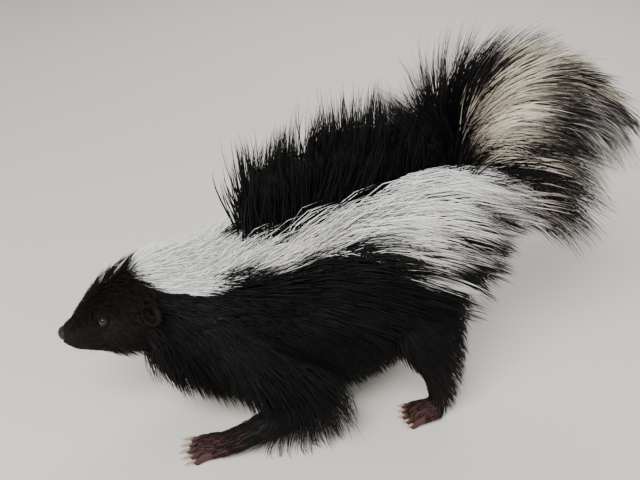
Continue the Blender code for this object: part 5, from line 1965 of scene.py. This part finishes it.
class SKUNK_OT_tail_coat(bpy.types.Operator):
    """Grow the plume of the tail"""

    bl_idname = "skunk.tail_coat"
    bl_label = "Plume of the tail"

    def execute(self, context):
        middles = skin_spots()
        tail = middles.of("tail") * smoothstep(*PLUME_ROOT, middles.share)
        even = 1 / np.maximum(np.interp(middles.share, (0, 1), TAIL_HALVES), TAIL_THINNEST)
        random = dice(PLUME_SEED)
        in_front = np.abs(middles.angle) < FRONT_LOW_ANGLE
        front_low = smoothstep(*FRONT_LOW, middles.share) * in_front
        weight = tail * even * (1 + FRONT_LOW_MORE * front_low)
        spots = scatter(amount(PLUME_TUFTS), weight, random)
        points, shades, lock = self.hair(spots, random)
        width = PLUME_HAIR * random.uniform(*PLUME_WIDTH, len(spots.x))
        groups = lock % PLUME_PIECES
        for number in range(PLUME_PIECES):
            chosen = groups == number
            fur_piece(
                f"coat_tail_{number + 1}", points[chosen], spots.pick(chosen), width[chosen],
                shades[chosen], "coat_grizzled",
            )
        return {"FINISHED"}

    def hair(self, spots, random):
        """Points, colours and locks of the plume."""
        count = len(spots.x)
        back = (1 - np.cos(spots.angle)) / 2
        share = np.clip((spots.share - PLUME_START) / (1 - PLUME_START), 0, 1)
        front_length = np.interp(share, PLUME_AT, PLUME_FRONT)
        length = mix_values(front_length, np.interp(share, PLUME_AT, PLUME_BACK), back)
        length *= random.uniform(*PLUME_VARY, count)
        out = mix_values(np.interp(share, PLUME_AT, PLUME_OUT), PLUME_BACK_OUT, back)
        ahead = PLUME_AHEAD[0] - PLUME_AHEAD[1] * back
        starts = spots.normals * out[:, None] + spots.forward * ahead[:, None]
        starts[:, 0] += PLUME_SWEEP * smoothstep(*PLUME_SWEEP_BACK, back)
        starts += random.normal(0, PLUME_SPREAD, (count, 3))
        starts[:, 1] *= np.where(starts[:, 1] > 0, *PLUME_NARROWER)
        ends = unit(starts)
        bend = np.interp(share, PLUME_AT, PLUME_BEND) * (1 - back)
        ends[:, 0] += PLUME_END_BACK * back + bend
        least, behind, less, upper = PLUME_FALL
        ends[:, 2] -= least + (behind - less * share) * back + upper * share
        points = grow(spots.places, starts, length, ends, LONG_RINGS, random, PLUME_WANDER)
        points, lock = clump(points, *PLUME_LOCKS, random, PLUME_LOCK_POWER)
        return points, self.shades(points, length, back, share, lock, random), lock

    def shades(self, points, length, back, share, lock, random):
        """Black in front; elsewhere cream at the root, a black band, and pale tips."""
        count, rings = points.shape[:2]
        along = np.linspace(0, 1, rings)[None] * length[:, None]
        of_lock, of_tuft = BAND_SHIFT
        shift = random.normal(0, of_lock, lock.max() + 1)[lock]
        shift = shift + random.normal(0, of_tuft, count)
        start = (np.interp(share, BAND_AT, BAND_START) + shift)[:, None]
        end = (np.interp(share, BAND_AT, BAND_END) + TIP_SHIFT * shift)[:, None]
        cream = colour_of("cream") * random.uniform(*CREAM_TONES, (count, 1))
        tip = colour_of("grizzled") * random.uniform(*TIP_TONES, (count, 1))
        to_band = smoothstep(*BAND_EDGE, along - start)
        banded = mix(np.repeat(cream[:, None], rings, 1), colour_of("band"), to_band)
        to_tip = smoothstep(*TIP_EDGE, along - end)
        banded = mix(banded, np.repeat(tip[:, None], rings, 1), to_tip)
        dark_low = DARK_ROOT_SHARE * smoothstep(*DARK_ROOT, share)
        front = smoothstep(*FRONT_EDGE, np.interp(share, FRONT_AT, FRONT_ROUND) - back)
        front *= smoothstep(*FRONT_END, share)
        of_lock, of_tuft = PLUME_DRAW
        draw = of_lock * random.random(lock.max() + 1)[lock] + of_tuft * random.random(count)
        streaks = STREAKS[0] + STREAKS[1] * smoothstep(*STREAKS_AT, share)
        is_black = draw < np.maximum(np.maximum(front, dark_low), streaks)
        black = colour_of("black") * random.uniform(*PLUME_BLACK_TONES, (count, 1))
        return np.where(is_black[:, None, None], black[:, None], banded)


LEG_SEED = 8
LEG_TUFTS = 7600
LEG_SHARE = (0, 0.25, 0.45, 0.6, 0.75, 1)
LEG_LENGTH = (0.022, 0.020, 0.015, 0.010, 0.0055, 0.0038)
FRINGE_SHARE = (0, 0.2, 0.55, 0.68, 0.76)
FRINGE_LENGTH = (0.008, 0.014, 0.019, 0.012, 0.0)
FRINGE_BEHIND = (1.0, 0.12)        # on the forelegs and on the hind legs
SOLE_NORMAL = (-0.55, -0.35)
SOLE_Z = 0.02
FOOT_Z = (0.0015, 0.003)
FOOT_MORE = 2.4
BEHIND_ANGLE = (1.5, 0.6)
ARM = (0.42, 0.28)
ARM_LONGER = 0.015
LEG_VARY = (0.7, 1.2)
HANG = (0.76, 0.60)
THIGH = 0.55
THIGH_LIE = (0.55, 0, -0.25)
SHOULDER = (0.24, 0.08)
SHOULDER_LIE = (1.0, 0, -0.6)
LEG_LIFT = (15, 22, 6)
LEG_LIFT_SPREAD = 0.07
LEG_SAG = (0, 0, -0.20)
LEG_OUT = 0.30
HANG_BACK = (0.45, 0.35)
HANG_DOWN = -0.85
LEG_LOCKS = (9, 0.55)
LEG_WIDTH_SHARE = (0, 0.5, 1)
LEG_WIDTH = (0.00105, 0.00085, 0.00042)
FOOT_SHADE = 0.30
FOOT_SHARE = 0.3


class SKUNK_OT_leg_coat(bpy.types.Operator):
    """Grow the coat of the legs and the thin hair of the feet"""

    bl_idname = "skunk.leg_coat"
    bl_label = "Coat of the legs"

    def execute(self, context):
        random = dice(LEG_SEED)
        middles = skin_spots()
        bare = paw_share(middles)
        sole = smoothstep(*SOLE_NORMAL, middles.normals[:, 2]) + (middles.z > SOLE_Z)
        weight = middles.on_leg() * np.clip(sole, 0, 1) * (1 + FOOT_MORE * bare)
        weight *= smoothstep(*FOOT_Z, middles.z)
        spots = scatter(amount(LEG_TUFTS), weight, random)
        count = len(spots.x)
        bare = paw_share(spots)
        behind = smoothstep(*BEHIND_ANGLE, np.abs(spots.angle))
        front_leg = spots.of("foreleg_left", "foreleg_right")
        fringe = behind * np.where(front_leg, *FRINGE_BEHIND)
        length = np.interp(spots.share, LEG_SHARE, LEG_LENGTH)
        length += fringe * np.interp(spots.share, FRINGE_SHARE, FRINGE_LENGTH)
        arm = smoothstep(*ARM, spots.share) * front_leg
        length += ARM_LONGER * arm
        length *= random.uniform(*LEG_VARY, count)
        hang = np.maximum(behind * smoothstep(*HANG, spots.share), arm)
        lie = spots.forward + np.array(THIGH_LIE) * (spots.share < THIGH)[:, None]
        shoulder = smoothstep(*SHOULDER, spots.share)
        flat = flat_part(mix(lie, np.array(SHOULDER_LIE), shoulder), spots.normals)
        least, hanging, less = LEG_LIFT
        lift = np.radians(least + hanging * hang * (1 - shoulder) - less * shoulder)
        lift += random.normal(0, LEG_LIFT_SPREAD, count)
        outward = np.sign(spots.y) * LEG_OUT * behind
        down = vectors(count, HANG_BACK[0] - HANG_BACK[1] * arm, outward, HANG_DOWN)
        ends = mix(flat + np.array(LEG_SAG), down, hang)
        starts = raised(flat, spots.normals, lift)
        points = grow(spots.places, starts, length, ends, SHORT_RINGS, random)
        points = clump(points, *LEG_LOCKS, random)[0]
        width = np.interp(spots.share, LEG_WIDTH_SHARE, LEG_WIDTH)
        shades = coat_shades(spots, points, random, np.zeros(count))
        on_foot = np.repeat(bare[:, None] * FOOT_SHARE, SHORT_RINGS + 1, axis=1)
        shades = mix(shades, colour_of("paw") * FOOT_SHADE, on_foot)
        left = spots.y < 0
        for word, chosen in (("left", left), ("right", ~left)):
            fur_piece(
                "coat_legs_" + word, clear_of_floor(points[chosen]), spots.pick(chosen),
                width[chosen], shades[chosen],
            )
        return {"FINISHED"}


WHISKER_SEED = 9
WHISKERS = 22
WHISKER_X = (-0.194, -0.182)
WHISKER_OUT = 0.006
WHISKER_Z = (0.085, 0.092)
WHISKER_LIE = (0.9, 0, -0.15)
WHISKER_SPREAD = 0.18
WHISKER_BEND = (0.5, 0, -0.35)
WHISKER_LENGTH = (0.012, 0.024)
WHISKER_RINGS = 7
WHISKER_WANDER = 0.05
WHISKER_COLOUR = (0.02, 0.016, 0.014)
WHISKER_WIDTH = 0.00022
WHISKER_ROUND = 0.8


class SKUNK_OT_whiskers(bpy.types.Operator):
    """Grow the few stiff whiskers of the muzzle"""

    bl_idname = "skunk.whiskers"
    bl_label = "Whiskers"

    def execute(self, context):
        random = dice(WHISKER_SEED)
        middles = skin_spots()
        pad = (middles.x > WHISKER_X[0]) & (middles.x < WHISKER_X[1])
        pad &= np.abs(middles.y - HEAD_MIDDLE_Y) > WHISKER_OUT
        pad &= middles.z > WHISKER_Z[0]
        spots = scatter(WHISKERS, pad * (middles.z < WHISKER_Z[1]), random)
        count = len(spots.x)
        starts = spots.normals + np.array(WHISKER_LIE)
        starts = starts + random.normal(0, WHISKER_SPREAD, (count, 3))
        ends = starts + np.array(WHISKER_BEND)
        length = random.uniform(*WHISKER_LENGTH, count)
        points = grow(
            spots.places, starts, length, ends, WHISKER_RINGS, random, WHISKER_WANDER
        )
        shades = np.tile(np.array(WHISKER_COLOUR), (count, WHISKER_RINGS + 1, 1))
        width = np.full(count, WHISKER_WIDTH)
        fur_piece("whiskers", points, spots, width, shades, flatness=WHISKER_ROUND)
        return {"FINISHED"}


FLOOR_SIZE = 8
FLOOR_CELLS = 8
FLOOR_ROUGHNESS = 0.75
FLOOR_MOTTLE = 3
FLOOR_TONES = (0.96, 1.04)
# Lights: name, place, size, and the setting with the power.
LIGHTS = [
    ("key_light", (-0.75, -1.05, 1.45), 1.1, "key"),
    ("fill_light", (1.30, -1.10, 0.95), 1.4, "fill"),
    ("rim_light", (0.55, 1.35, 1.25), 1.0, "rim"),
]
LIT_PLACE = (0, 0, 0.12)
SKY_COLOUR = (0.93, 0.96, 1.0, 1)


def aim(item, target):
    item.rotation_euler = (Vector(target) - item.location).to_track_quat("-Z", "Y").to_euler()


class SKUNK_OT_studio(bpy.types.Operator):
    """Set the floor, the lights and the camera"""

    bl_idname = "skunk.studio"
    bl_label = "Studio"

    def execute(self, context):
        self.floor()
        self.lights()
        self.camera(context)
        return {"FINISHED"}

    def floor(self):
        """A wide pale floor, very slightly mottled."""
        bpy.ops.mesh.primitive_grid_add(
            x_subdivisions=FLOOR_CELLS, y_subdivisions=FLOOR_CELLS, size=FLOOR_SIZE
        )
        item = bpy.context.object
        item.name = "studio_floor"
        made, nodes, links, shader = new_material("floor", {"Roughness": FLOOR_ROUGHNESS})
        noise = nodes.new("ShaderNodeTexNoise")
        noise.inputs["Scale"].default_value = FLOOR_MOTTLE
        ramp = nodes.new("ShaderNodeValToRGB")
        tone = np.array(settings().studio.floor)
        for element, factor in zip(ramp.color_ramp.elements, FLOOR_TONES):
            element.color = (*np.minimum(tone * factor, 1), 1)
        links.new(noise.outputs["Fac"], ramp.inputs["Fac"])
        links.new(ramp.outputs["Color"], shader.inputs["Base Color"])
        item.data.materials.append(made)
        item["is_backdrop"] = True

    def lights(self):
        studio = settings().studio
        for name, place, size, setting in LIGHTS:
            data = bpy.data.lights.new(name, "AREA")
            data.energy = getattr(studio, setting)
            data.size = size
            item = bpy.data.objects.new(name, data)
            bpy.context.scene.collection.objects.link(item)
            item.location = place
            aim(item, LIT_PLACE)
        world = bpy.data.worlds.new("sky")
        bpy.context.scene.world = world
        world.use_nodes = True
        sky = world.node_tree.nodes["Background"]
        set_inputs(sky, {"Color": SKY_COLOUR, "Strength": studio.sky})

    def camera(self, context):
        data = bpy.data.cameras.new("photo_camera")
        data.lens = LENS
        data.sensor_width = SENSOR
        item = bpy.data.objects.new("photo_camera", data)
        context.scene.collection.objects.link(item)
        item.location = VIEW_FROM + PLACE
        aim(item, VIEW_TO + PLACE)
        context.scene.camera = item


class SKUNK_PT_panel(bpy.types.Panel):
    """Lists the pieces and the settings"""

    bl_idname = "SKUNK_PT_panel"
    bl_label = "Striped skunk"
    bl_space_type = "VIEW_3D"
    bl_region_type = "UI"
    bl_category = "Skunk"

    def draw(self, context):
        chosen = context.scene.striped_skunk
        for group in (chosen.sizes, chosen.colours, chosen.studio):
            column = self.layout.column(align=True)
            for name in group.__annotations__:
                column.prop(group, name)
        for operator in PIECES:
            self.layout.operator(operator.bl_idname)


GROUPS = (SkunkColours, SkunkSizes, SkunkStudio, SkunkSettings)
PIECES = (
    SKUNK_OT_skin,
    SKUNK_OT_eyes,
    SKUNK_OT_nose,
    SKUNK_OT_ears,
    SKUNK_OT_toes,
    SKUNK_OT_claws,
    SKUNK_OT_head_coat,
    SKUNK_OT_nape_coat,
    SKUNK_OT_body_coat,
    SKUNK_OT_rump_coat,
    SKUNK_OT_crest,
    SKUNK_OT_tail_coat,
    SKUNK_OT_leg_coat,
    SKUNK_OT_whiskers,
    SKUNK_OT_studio,
)


def register():
    for item in (*GROUPS, *PIECES, SKUNK_PT_panel):
        bpy.utils.register_class(item)
    bpy.types.Scene.striped_skunk = PointerProperty(type=SkunkSettings)


def unregister():
    del bpy.types.Scene.striped_skunk
    for item in reversed((*GROUPS, *PIECES, SKUNK_PT_panel)):
        bpy.utils.unregister_class(item)


def main():
    register()
    for operator in PIECES:
        group, name = operator.bl_idname.split(".")
        getattr(getattr(bpy.ops, group), name)()
    bounds = {"cad": CAD_BOUNDS, "visual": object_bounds()}
    plain = {key: [list(corner) for corner in value] for key, value in bounds.items()}


if __name__ == "__main__":
    main()
